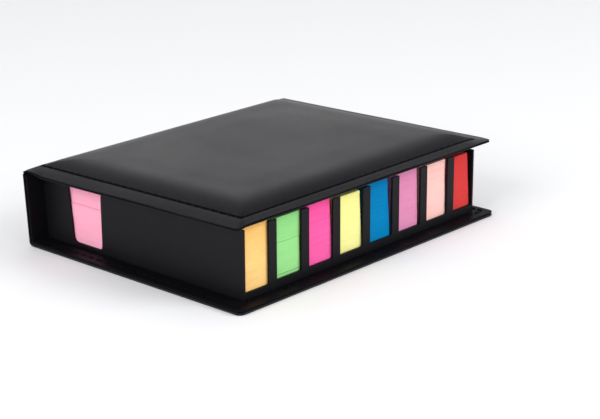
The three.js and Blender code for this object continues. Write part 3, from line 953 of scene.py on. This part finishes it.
    def build_skin(self) -> bpy.types.Object:
        """The outer skin: rings from under the crown, out round the rim and back over the crown.

        On its own map, U is the inset as a share of the seam's, and V counts the stitches.
        """
        under = [part[::-1] for part in self.crown_rings(self.foam_start(), self.crown_skin, 0.0, 7)]
        edge = self.board_inset - self.layer_gap
        pocket = (
            np.array([edge, edge]),
            np.array([self.board_top, self.flange_bottom]),
            np.full(2, self.stitch_corner),
        )
        rim_inset, rim_height, rim_fore, rim_back = self.rim()
        groove_share = np.linspace(-1, 1, 7)[1:-1]
        groove_inset = self.stitch_inset + self.groove / 2 * groove_share
        groove_height = self.flange_top - self.groove_depth * (1 - groove_share ** 2)
        over = self.crown_rings(0.0, 0.0, 0.0, 18)
        insets = np.concatenate([under[0], pocket[0], rim_inset, groove_inset, over[0]])
        heights = np.concatenate([under[1], pocket[1], rim_height, groove_height, over[1]])
        fore = np.concatenate([under[2], pocket[2], rim_fore, np.full(5, self.stitch_corner), over[2]])
        back = np.concatenate([under[2], pocket[2], rim_back, np.full(5, self.stitch_corner), over[2]])
        rings = self.rings(insets, heights, fore, back, self.grid)
        first_outer = len(under[0]) + 2
        pocket_rings = slice(first_outer - 2, first_outer)
        rings[pocket_rings] = self.rings(*pocket, pocket[2], self.grid, skew=False)
        rings[first_outer:, :, 2] += self.surface_life(rings[first_outer:], insets[first_outer:])
        rings[first_outer:] = self.settle(rings[first_outer:])
        made = loft("cover_leather", self.place(rings), smooth_angle=0.9)
        stitches = self.stitch_phase(rings, insets) / (2 * np.pi)
        grid = np.meshgrid(insets / self.stitch_inset, stitches, indexing="ij")
        write_map(made, "seam", np.stack(grid, -1).reshape(-1, 2))
        return made

    def stitch_phase(self, rings: Array, insets: Array) -> Array:
        """Phase of the stitches at each point of a ring: a full turn for every stitch along the seam."""
        seam = rings[np.argmin(np.abs(insets - self.stitch_inset))][:, :2]
        reach = np.concatenate([[0], np.cumsum(np.linalg.norm(np.diff(seam, axis=0), axis=1))])
        total = reach[-1] + np.linalg.norm(seam[0] - seam[-1])
        return 2 * np.pi * reach / total * round(total / self.seam.pitch)

    def surface_life(self, rings: Array, insets: Array) -> Array:
        """Small heights that are added to the outer rings.

        Leather between two stitches stands up and draws down at each stitch, as a cosine along the seam
        that fades as a bell curve to both sides. The crown has a slow swell, and the flange a slow wave.

        Args:
            rings: the outer rings, level.
            insets: each ring's inset.

        Returns:
            The height to add at each point.
        """
        between = 0.5 + 0.5 * np.cos(self.stitch_phase(rings, insets))
        off = insets - self.stitch_inset
        in_groove = np.exp(-((off / self.bridge_reach) ** 2))[:, None] * self.groove_depth * self.bridge
        bell = np.exp(-((off / self.pucker_reach) ** 2))[:, None] * self.pucker * (between - 0.5)
        x, y = rings[..., 0], rings[..., 1] + self.width / 2
        inward = np.clip((insets - self.stitch_inset) / (self.shoulder * 1.6), 0, 1)[:, None]
        swell = self.dome * inward ** 2 * np.cos(x * 19) * np.cos(y * 24)
        wave = self.wave * np.sin(x * 61 + 1.1) * np.sin(y * 47 + 0.4) * inward
        edge = np.clip(1 - insets / self.stitch_inset, 0, 1)[:, None]
        flutter = self.flutter * edge * (np.sin(x * 88 + 0.7) + np.sin(y * 107 + 2.0))
        return in_groove * between ** 6 + bell + swell + wave + flutter

    def build_seam(self) -> bpy.types.Object:
        """The stitches of the cover, on a line in the groove."""
        inset = np.array([self.stitch_inset])
        height = np.array([self.flange_top - self.groove_depth * 0.6])
        radius = np.array([self.stitch_corner])
        line = self.rings(inset, height, radius, radius, self.grid)[0]
        return self.seam.build("cover_stitches", self.place(self.settle(line)), closed=True)

    def build_foam(self) -> bpy.types.Object:
        """The foam pad: a flat foot, and a crown that lies under the skin all over."""
        coarse = RingGrid(long_side=60, short_side=44, corner=8)
        under_skin = self.crown_skin + self.layer_gap
        inset, height, radius = self.crown_rings(self.foam_start(), under_skin, self.layer_gap, 8)
        inset, height, radius = (np.concatenate([part[:1], part]) for part in (inset, height, radius))
        height[0] = self.board_top
        insets = np.concatenate([inset[:0:-1], inset])
        heights = np.concatenate([np.full(len(height) - 1, height[0]), height])
        radii = np.concatenate([radius[:0:-1], radius])
        return loft("cover_padding", self.place(self.rings(insets, heights, radii, radii, coarse)))

    def build_lining(self) -> bpy.types.Object:
        """The lining: a flat sheet with a soft rim, an ellipse in section."""
        coarse = RingGrid(long_side=120, short_side=90, corner=12)
        turn = np.linspace(-np.pi / 2, np.pi / 2, 7)
        rim = self.lining_soft * (1 - np.cos(turn))
        height = self.lining / 2 + self.lining / 2 * np.sin(turn)
        inward = np.array([12, 30, 54]) * MM
        radius = np.array([3, 3, 1]) * MM
        inset = np.concatenate([inward[::-1], rim, inward])
        level = np.concatenate([np.zeros_like(inward), height, np.full_like(inward, self.lining)])
        fore = np.concatenate([radius[::-1], self.corner - rim, radius])
        back = np.concatenate([radius[::-1], np.full_like(turn, self.soft), radius])
        rings = self.rings(inset, level, fore, back, coarse)
        return loft("cover_inner_lining", self.place(rings), smooth_angle=1.2)

    def build(self, finishes: Finishes) -> None:
        """Builds and dresses every piece of the cover."""
        skin = self.build_skin()
        dress(skin, finishes.painted_seam_shade, "leatherette", Body.COVER, "cover_skin")
        dress(self.build_seam(), finishes.thread, "leatherette", Body.COVER)
        foam = self.build_foam()
        dress(foam, finishes.foam, "foam", Body.COVER, "cover_foam")
        dress(self.build_lining(), finishes.lining, "lining", Body.COVER, "cover_lining")
        dress_node("cover_board", finishes.greyboard)


@dataclass(frozen=True)
class TurnedSheet:
    """A sheet that lies flat from the fore-edge and may turn up at the spine, with soft rims.

    Its middle is a line in Y and Z, its two faces stand half a thickness off that line, and both come
    together at the rim as an ellipse does.
    """

    name: str
    half_length: float
    corner: float
    soft: float
    thickness: float
    thinnest: float = 0.12
    step: float = 0.002 * MM

    def stations(self, total: float, extra: tuple[float, ...]) -> Array:
        """Distances along the sheet: close together at the rims, the corner and round each extra place."""
        turn = np.linspace(0, np.pi / 2, 16)
        rim = self.soft * (1 - np.cos(turn[::3]))
        near = [rim, total - rim, np.linspace(0, total, 40)]
        if self.corner > 0:
            near.append(self.corner * (1 - np.cos(turn)))
        near.append(np.array(extra))
        return np.unique(np.round(np.concatenate(near), 7))

    def build(self, line: Array, recess: tuple[float, float, float, float] | None = None) -> bpy.types.Object:
        """Makes the sheet.

        Args:
            line: points of its middle in Y and Z from the fore-edge on, one a row.
            recess: the distances along and the half-length between which its upper face drops to a
                depth over its lower one: start, end, half-length, depth.

        Returns:
            The new object.
        """
        reach = np.concatenate([[0], np.cumsum(np.linalg.norm(np.diff(line, axis=0), axis=1))])
        extra = tuple(reach)
        if recess is not None:
            extra += (recess[0] - self.step, recess[0], recess[1], recess[1] + self.step)
        along = self.stations(reach[-1], extra)
        middle = np.stack([np.interp(along, reach, line[:, axis]) for axis in (0, 1)], -1)
        ahead = np.gradient(middle, along, axis=0)
        ahead /= np.linalg.norm(ahead, axis=1, keepdims=True)
        up = np.stack([-ahead[:, 1], ahead[:, 0]], -1)
        into = np.clip(self.corner - along, 0, None)
        half = self.half_length - self.corner + np.sqrt(np.clip(self.corner ** 2 - into ** 2, 0, None))
        half = np.maximum(half, self.half_length - self.corner)
        turn = np.linspace(0, np.pi / 2, 7)
        rim = 1 - self.soft * (1 - np.cos(turn)) / self.half_length
        spread = np.concatenate([np.linspace(0, 1, 50), rim])
        if recess is not None:
            spread = np.concatenate([spread, np.array([recess[2], recess[2] + self.step]) / self.half_length])
        share = np.unique(np.round(np.concatenate([-spread, spread]), 8))
        x = share[None, :] * half[:, None]
        corner_x = np.clip(np.abs(x) - (self.half_length - self.corner), 0, None)
        in_corner = (into[:, None] > 0) & (corner_x > 0)
        plain = np.minimum(np.minimum(along, reach[-1] - along)[:, None], self.half_length - np.abs(x))
        rounded = self.corner - np.hypot(corner_x, into[:, None])
        depth = np.clip(np.where(in_corner, rounded, plain) / self.soft, 0, 1)
        open_share = np.maximum(np.sqrt(1 - (1 - depth) ** 2), self.thinnest)
        offset = self.thickness / 2 * open_share
        upper_offset = offset.copy()
        if recess is not None:
            start, end, reach_x, floor = recess
            inside = ((along >= start) & (along <= end))[:, None] & (np.abs(x) <= reach_x + self.step / 2)
            upper_offset = np.where(inside, floor - self.thickness / 2, upper_offset)
        faces_of = []
        for value in (upper_offset, -offset):
            y = middle[:, 0][:, None] + up[:, 0][:, None] * value
            z = middle[:, 1][:, None] + up[:, 1][:, None] * value
            faces_of.append(np.stack([x, y, z], -1))
        rows, columns = x.shape
        size = rows * columns
        quads = ring_quads(rows, columns, closed=False)
        number = np.arange(size).reshape(rows, columns)
        border = np.concatenate([number[0, :-1], number[:-1, -1], number[-1, :0:-1], number[:0:-1, 0]])
        following = np.roll(border, -1)
        sides = np.stack([border, border + size, following + size, following], -1)
        faces = quads.tolist() + (quads[:, ::-1] + size).tolist() + sides.tolist()
        return make_object(self.name, np.concatenate([part.reshape(-1, 3) for part in faces_of]), faces, 0.9)


@dataclass(frozen=True)
class Case:
    """Base and spine: skin, stitches, boards and lining."""

    corner: float = 2.6 * MM
    lean: float = 1.9 * MM
    spine_height: float = 28.6 * MM
    skin: float = 1.2 * MM
    skin_soft: float = 0.55 * MM
    skin_depth: float = 0.3 * MM
    skin_bend: float = 1.4 * MM
    spine_skin: float = 0.6 * MM
    thin_from: float = 0.9 * MM
    thin_run: float = 2.2 * MM
    lining: float = 0.7 * MM
    lining_soft: float = 0.3 * MM
    lining_depth: float = 1.9 * MM
    lining_bend: float = 0.6 * MM
    layer_gap: float = 0.15 * MM
    board_inset: float = 4 * MM
    under_board: float = 0.4 * MM
    stitch_inset: float = 1.9 * MM
    stitch_corner: float = 0.4 * MM
    seam_end: float = 4 * MM
    seam_drop: float = 0.05 * MM
    fore_reach: float = 2.0 * MM
    end_reach: float = 1.3 * MM
    seam: Seam = Seam(thread=0.45 * MM)

    def spine_face(self, height: Array, depth: Array) -> Array:
        """Y of the leaning spine at a height and a depth inside its outer face."""
        high = node_box("case_skin")[1]
        foot = float(high[1]) - self.lean * float(high[2]) / self.spine_height
        return foot + self.lean * height / self.spine_height - depth

    def turned_line(self, node: str, level: float, depth: float, bend: float, steps: tuple[int, int]) -> Array:
        """Middle of a sheet: level to the spine's foot, round a quarter circle, and up the leaning spine.

        Args:
            node: the CAD node that gives its fore-edge and its top.
            level: Z of its level part.
            depth: how far inside the spine's outer face it climbs.
            bend: the quarter circle's radius.
            steps: how many points the quarter circle and the climb have.

        Returns:
            Its points in Y and Z, one a row.
        """
        low, high = node_box(node)
        start = self.spine_face(np.array(level), depth) - bend
        turn = np.linspace(0, np.pi / 2, steps[0])
        arc = np.stack([start + bend * np.sin(turn), level + bend * (1 - np.cos(turn))], -1)
        climb = np.linspace(arc[-1, 1], high[2], steps[1])[1:]
        wall = np.stack([self.spine_face(climb, depth), climb], -1)
        return np.concatenate([[[float(low[1]) - self.fore_reach, level]], arc, wall])

    def build_skin(self) -> bpy.types.Object:
        """The outer skin: under the base board, round the foot of the spine and up to the hinge line."""
        high = node_box("case_skin")[1]
        line = self.turned_line("case_skin", self.skin / 2, self.skin_depth, self.skin_bend, (10, 12))
        fore, start = line[:2, 0]
        half = float(high[0]) + self.end_reach
        sheet = TurnedSheet("case_leather", half, self.corner, self.skin_soft, self.skin)
        inset = self.board_inset - self.layer_gap
        board_high = node_box("base_board")[1]
        recess = (
            inset + self.fore_reach,
            float(board_high[1]) - fore + self.layer_gap,
            float(high[0]) - inset,
            self.under_board,
        )
        made = sheet.build(line, recess)
        self.thin_spine(made, start)
        return made

    def thin_spine(self, piece: bpy.types.Object, start: float) -> None:
        """Thins the sheet from the base's thickness to the spine's round the fold, towards its outer face.

        Args:
            piece: the case's skin.
            start: Y at which the fold starts.
        """
        mesh = piece.data
        points = vertex_array(mesh)
        outer = self.spine_face(points[:, 2], 0.0)
        share = np.clip((points[:, 2] - self.thin_from) / self.thin_run, 0, 1)
        share = share * share * (3 - 2 * share) * (points[:, 1] > start)
        depth = outer - points[:, 1]
        thinned = np.clip((depth + self.skin_depth) / 2, 0.0, self.spine_skin)
        points[:, 1] = outer - (depth * (1 - share) + thinned * share)
        mesh.vertices.foreach_set("co", points.ravel())
        mesh.update()

    def build_lining(self) -> bpy.types.Object:
        """The lining: over the base board and up inside the spine."""
        low, high = node_box("case_lining")
        level = float(low[2]) + self.lining / 2
        line = self.turned_line("case_lining", level, self.lining_depth, self.lining_bend, (6, 10))
        half = float(high[0]) + self.end_reach
        thickness = self.lining - self.lining_soft
        return TurnedSheet("case_inner_lining", half, self.corner, self.lining_soft, thickness).build(line)

    def build_seam(self) -> bpy.types.Object:
        """The stitches of the base's rim, on three sides."""
        low, high = node_box("case_lining")
        grid = RingGrid(long_side=160, short_side=120, corner=8)
        inset = np.array([self.stitch_inset])
        radius = np.array([self.stitch_corner])
        beyond_spine = np.array([float(high[1]) + 100 * MM])
        outline = grid.outline(high[0] - inset, low[1] + inset, beyond_spine, radius, radius)[0]
        keep = outline[outline[:, 1] < float(high[1]) - self.seam_end]
        order = np.argsort(np.unwrap(np.arctan2(keep[:, 0], -(keep[:, 1] - float(high[1])))))
        level = node_box("tray")[0][2] - self.seam_drop
        line = np.column_stack([keep[order], np.full(len(keep), level)])
        return self.seam.build("base_stitches", line, closed=False)

    def build(self, finishes: Finishes) -> None:
        """Builds and dresses every piece of the base and spine."""
        dress(self.build_skin(), finishes.leatherette, "leatherette", Body.CASE, "case_skin")
        dress(self.build_lining(), finishes.lining, "lining", Body.CASE, "case_lining")
        dress(self.build_seam(), finishes.thread, "leatherette", Body.CASE)
        dress_node("base_board", finishes.greyboard)
        dress_node("spine_board", finishes.greyboard)


@dataclass(frozen=True)
class HingeWeb:
    """The strip of leatherette that runs on from the spine to the cover: a flat upright strip at the hinge line.
    """

    below: float = 2.2 * MM
    above: float = 0.7 * MM
    overhang: float = 0.9 * MM
    depth: float = 0.19 * MM
    thickness: float = 0.24 * MM
    soft: float = 0.12 * MM
    bend_reach: float = 0.45 * MM
    steps: int = 24

    def build(self, hinge: Array, half_length: float, finishes: Finishes) -> None:
        """Builds the strip as a flat upright sheet at the hinge line and gives it the leatherette.

        Args:
            hinge: a point on the hinge line.
            half_length: half of the strip's length.
            finishes: the finishes of the box.
        """
        level = np.linspace(hinge[2] - self.below, hinge[2] + self.above, self.steps)
        line = np.stack([np.full(self.steps, hinge[1] - self.depth), level], -1)
        piece = TurnedSheet("hinge_web", half_length + self.overhang, 0.0, self.soft, self.thickness).build(line)
        piece.data.materials.append(finishes.leatherette)
        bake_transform(piece)
        log.info("piece hinge_web bends between case and cover")


@dataclass(frozen=True)
class CardWork:
    """Tray and dividers of black card, with their cut edges softened."""

    softness: float = 0.1 * MM
    window_shift: float = 1.65 * MM
    first_notch_drop: float = 0.6 * MM
    stretch: float = 0.95 * MM
    taller: float = 0.5 * MM
    wall: float = 1 * MM
    window_zone: tuple[float, float, float] = (50 * MM, 8 * MM, 3.4 * MM)
    notch_zone: tuple[float, float, float] = (16 * MM, 4 * MM, 7 * MM)

    def adjust_tray(self, mesh: bpy.types.Mesh) -> None:
        """Moves the note window to the spine, lowers the first notch's floor and draws the far end out.

        The window lies past a distance from the fore wall and one from the back wall, and above a height.
        The first notch's floor lies within a distance of the end wall, and between two heights.

        Args:
            mesh: the tray's merged mesh, in place.
        """
        low, high = node_box("tray")
        points = vertex_array(mesh)
        x, y, z = points.T
        from_fore, from_back, over = self.window_zone
        in_window = (y > low[1] + from_fore) & (y < high[1] - from_back) & (z > over)
        in_end_wall = x < low[0] + self.wall
        points[in_end_wall & in_window, 1] += self.window_shift
        from_end, floor_low, floor_high = self.notch_zone
        in_first_notch = (x < low[0] + from_end) & (z > floor_low) & (z < floor_high)
        in_fore_wall = y < low[1] + self.wall
        points[in_fore_wall & in_first_notch, 2] -= self.first_notch_drop
        points[points[:, 2] > high[2] - 0.01 * MM, 2] += self.taller
        points[:, 0] += self.stretch * (points[:, 0] - low[0]) / (high[0] - low[0])
        mesh.vertices.foreach_set("co", points.ravel())

    def softened(self, node: str, name: str) -> bpy.types.Object:
        """A merged copy of a CAD node with bevelled edges.

        Args:
            node: the CAD node.
            name: the copy's name.

        Returns:
            The copy, linked to the scene.
        """
        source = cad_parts[node]
        mesh = source.data.copy()
        mesh.transform(source.matrix_world)
        work = bmesh.new()
        work.from_mesh(mesh)
        bmesh.ops.remove_doubles(work, verts=work.verts, dist=1e-6)
        bmesh.ops.dissolve_limit(work, angle_limit=math.radians(0.5), verts=work.verts, edges=work.edges)
        work.to_mesh(mesh)
        work.free()
        if node == "tray":
            self.adjust_tray(mesh)
        mesh.name = name
        mesh.polygons.foreach_set("use_smooth", np.ones(len(mesh.polygons), dtype=bool))
        mesh.set_sharp_from_angle(angle=0.7)
        made = bpy.data.objects.new(name, mesh)
        bpy.context.scene.collection.objects.link(made)
        bevel = made.modifiers.new("cut_edge", "BEVEL")
        bevel.width = self.softness
        bevel.segments = 2
        bevel.limit_method = "ANGLE"
        bevel.angle_limit = math.radians(40)
        bevel.harden_normals = True
        return made

    def build(self, finishes: Finishes) -> None:
        """Builds and dresses the tray and its dividers."""
        names = {"tray": "card_tray", "long_divider": "row_divider", "cross_divider": "pad_divider"}
        for node, name in names.items():
            dress(self.softened(node, name), finishes.tray_card, "tray_card", Body.CASE, node)


@dataclass(frozen=True)
class PaperStack:
    """A block of sheets: thin layers, each with its own small shift, in a stack that leans a little."""

    node: str
    slot: str
    lean: float = 0.0
    shift: float = 0.0
    wider: float = 0.0
    used: float = 0.0
    raised: float = 0.0
    seed: int = 1
    line_at: float = 0.0
    layer: float = 0.25 * MM
    jitter: float = 0.028 * MM
    drift: float = 0.09 * MM
    most_draw: float = 0.2 * MM
    line_depth: float = 0.4 * MM
    corner: float = 0.12 * MM

    def build(self) -> bpy.types.Object:
        """Makes the stack.

        Each layer is a rectangle with slightly rounded corners. Its shift is the lean times its height, plus
        a slow drift of three sines, plus its own small draw.

        Returns:
            The new object.
        """
        low, high = node_box(self.node)
        low[2] += self.raised
        high[2] -= self.used
        draw = np.random.default_rng(self.seed)
        count = max(4, round((high[2] - low[2]) / self.layer))
        level = np.linspace(low[2], high[2], count + 1)
        height = np.repeat(level, 2)[1:-1]
        middle = (level[:-1] + level[1:]) / 2
        share = (middle - low[2]) / max(high[2] - low[2], self.layer)
        phases = draw.uniform(0, 2 * np.pi, (2, 3))
        slow = [
            sum(np.sin(share * (3 + 5 * k) + phases[axis, k]) / (k + 1.5) for k in range(3)) for axis in (0, 1)
        ]
        own = draw.normal(0, self.jitter, (2, count))
        shift_x = np.repeat(self.shift + self.lean * share + slow[0] * self.drift + own[0], 2)
        drawn = np.clip(slow[1] * self.drift * 0.6 + own[1], -self.most_draw, self.most_draw)
        shift_y = np.repeat(drawn, 2)
        grid = RingGrid(long_side=6, short_side=6, corner=3)
        centre = (low + high) / 2
        on_line = np.abs(middle - self.line_at) < self.layer * 0.6
        drawn_in = np.repeat(np.where(on_line, self.line_depth, 0.0), 2)
        half_x = (high[0] - low[0] + self.wider) / 2 - drawn_in
        half_y = (high[1] - low[1]) / 2 - drawn_in
        radius = np.full(2 * count, self.corner)
        flat = grid.outline(half_x, -half_y, half_y, radius, radius)
        flat = flat + np.stack([centre[0] + shift_x, centre[1] + shift_y], -1)[:, None, :]
        rings = np.concatenate([flat, np.broadcast_to(height[:, None, None], (*flat.shape[:2], 1))], -1)
        return loft(f"sheets_{self.node}", rings, smooth_angle=0.7)

    def dress(self, finishes: Finishes) -> None:
        """Builds the stack and gives it its paper."""
        dress(self.build(), finishes.papers[self.slot], self.slot, Body.CASE, self.node)


FLAG_EXTRA = 0.4 * MM
GREEN_SPLIT_SHIFT = 5.8 * MM
STACKS = (
    PaperStack("flags_orange", "paper_orange", -0.75 * MM, 0.55 * MM, FLAG_EXTRA, seed=3),
    PaperStack(
        "flags_green_lower", "paper_green", -0.55 * MM, 0.1 * MM, FLAG_EXTRA, used=-GREEN_SPLIT_SHIFT, seed=5,
        line_at=6.3 * MM,
    ),
    PaperStack(
        "flags_green_upper", "paper_green", -0.2 * MM, 0.05 * MM, FLAG_EXTRA, used=1.4 * MM,
        raised=GREEN_SPLIT_SHIFT, seed=7,
    ),
    PaperStack("flags_hot_pink_lower", "paper_hot_pink", -1.1 * MM, 0.85 * MM, FLAG_EXTRA, seed=9),
    PaperStack("flags_hot_pink_upper", "paper_hot_pink", -0.4 * MM, -0.3 * MM, FLAG_EXTRA, seed=11),
    PaperStack("flags_yellow", "paper_yellow", -1.5 * MM, 1.0 * MM, FLAG_EXTRA, used=1.9 * MM, seed=13),
    PaperStack("flags_blue", "paper_blue", -2.3 * MM, 1.2 * MM, FLAG_EXTRA, seed=15),
    PaperStack("flags_orchid", "paper_orchid", -1.2 * MM, 1.2 * MM, FLAG_EXTRA, used=1.0 * MM, seed=17),
    PaperStack("flags_blush", "paper_blush", -0.6 * MM, 2.0 * MM, FLAG_EXTRA, used=1.5 * MM, seed=19),
    PaperStack("flags_red", "paper_red", -2.2 * MM, 1.2 * MM, FLAG_EXTRA, used=2.1 * MM, seed=21),
    PaperStack("notes_pink_lower", "paper_note_pink", seed=23),
    PaperStack("notes_pink_upper", "paper_note_pink", shift=0.1 * MM, seed=25),
    PaperStack("notes_yellow", "paper_note_yellow", seed=27),
)


@dataclass(frozen=True)
class Lamp:
    """A square soft lamp that looks at the box and doesn't show in reflections."""

    name: str
    place: tuple[float, float, float]
    size: float
    power: float

    def build(self) -> None:
        """Makes the lamp."""
        data = bpy.data.lights.new(self.name, "AREA")
        data.shape = "SQUARE"
        data.size = self.size
        data.energy = self.power
        lamp = bpy.data.objects.new(self.name, data)
        aim = (-Vector(self.place)).to_track_quat("-Z", "Y")
        lamp.matrix_world = Matrix.Translation(Vector(self.place)) @ aim.to_matrix().to_4x4()
        lamp.visible_glossy = False
        bpy.context.scene.collection.objects.link(lamp)


@dataclass(frozen=True)
class Studio:
    """Pale floor, soft light and the camera at the photograph's angle."""

    azimuth: float = math.radians(-48.0021)
    elevation: float = math.radians(18.1347)
    roll: float = math.radians(-0.2815)
    distance: float = 593.43 * MM
    aim_right: float = 19.49 * MM
    aim_up: float = 33.72 * MM
    lens: float = 102.57
    sensor: float = 36.0
    sky: float = 0.72
    backdrop: float = 0.97
    ceiling: float = 0.1
    far_ceiling: float = 0.25
    floor_half: float = 6.0
    lamps: tuple[Lamp, ...] = (
        Lamp("top_softbox", (0.35, 0.55, 1.3), size=1.3, power=1.2),
        Lamp("fore_softbox", (0.55, -1.05, 0.7), size=0.6, power=7.6),
        Lamp("end_softbox", (-1.1, -0.1, 0.6), size=0.6, power=8.0),
    )

    def build_camera(self) -> None:
        """Places the camera: it looks at a point beside the tray's foot corner, turned by its roll."""
        corner = np.array([-65.8, -52.15, 0.0]) * MM
        ca, sa = math.cos(self.azimuth), math.sin(self.azimuth)
        ce, se = math.cos(self.elevation), math.sin(self.elevation)
        right = np.array([ca, sa, 0.0])
        back = np.array([sa * ce, -ca * ce, se])
        up = np.cross(back, right)
        target = corner + right * self.aim_right + up * self.aim_up
        place = target + back * self.distance
        turned_right = right * math.cos(self.roll) + up * math.sin(self.roll)
        turned_up = up * math.cos(self.roll) - right * math.sin(self.roll)
        data = bpy.data.cameras.new("camera")
        data.lens = self.lens
        data.sensor_width = self.sensor
        data.clip_start = 0.01
        camera = bpy.data.objects.new("camera", data)
        turn = Matrix(np.column_stack([turned_right, turned_up, back]).tolist())
        camera.matrix_world = Matrix.Translation(Vector(place.tolist())) @ turn.to_4x4()
        bpy.context.scene.collection.objects.link(camera)
        bpy.context.scene.camera = camera

    def build_floor(self) -> None:
        """A wide pale floor, level with the table."""
        corners = np.array([[-1, -1, 0], [1, -1, 0], [1, 1, 0], [-1, 1, 0]]) * self.floor_half
        floor = make_object("floor", corners, [[0, 1, 2, 3]])
        material, _, shader = start_material("pale_floor")
        shader.inputs["Base Color"].default_value = (0.93, 0.93, 0.94, 1.0)
        shader.inputs["Roughness"].default_value = 0.6
        shader.inputs["Specular IOR Level"].default_value = 0.2
        floor.data.materials.append(material)

    def build_light(self) -> None:
        """A pale world whose backdrop shines low down and whose ceiling is dark, and three soft lamps.

        The dark ceiling, a little lighter to the far side, shows only in reflections, as over a real table
        with a white backdrop.
        """
        world = bpy.data.worlds.new("studio")
        bpy.context.scene.world = world
        world.use_nodes = True
        world.node_tree.nodes.clear()
        tree = Tree(world.node_tree)
        path = tree.add("ShaderNodeLightPath")
        direction = tree.add("ShaderNodeTexCoord").outputs["Generated"]
        parts = tree.add("ShaderNodeSeparateXYZ", {0: direction})
        overhead = tree.spread(parts.outputs[1], 0.1, 0.9, self.ceiling, self.far_ceiling)
        mirrored = tree.between(tree.spread(parts.outputs[2], 0.22, 0.5, 0.0, 1.0), self.backdrop, overhead)
        lit = tree.between(path.outputs["Is Glossy Ray"], self.sky, mirrored)
        seen = tree.math("MAXIMUM", path.outputs["Is Camera Ray"], path.outputs["Is Transmission Ray"])
        strength = tree.between(seen, lit, self.backdrop)
        background = tree.add("ShaderNodeBackground", {"Color": (0.98, 0.985, 1.0, 1.0), "Strength": strength})
        tree.add("ShaderNodeOutputWorld", {"Surface": background.outputs[0]})
        for lamp in self.lamps:
            lamp.build()

    def build(self) -> None:
        """Builds the camera, the floor and the light."""
        bpy.context.scene.view_settings.view_transform = "Standard"
        self.build_camera()
        self.build_floor()
        self.build_light()


def main() -> None:
    """Builds the studio, then each sub-assembly in order."""
    logging.basicConfig(level=logging.INFO, format="%(message)s")
    Studio().build()
    finishes = Finishes()
    cover = Cover()
    cover.build(finishes)
    Case().build(finishes)
    HingeWeb().build(cover.hinge, cover.half_length, finishes)
    CardWork().build(finishes)
    for stack in STACKS:
        stack.dress(finishes)


if __name__ == "__main__":
    main()
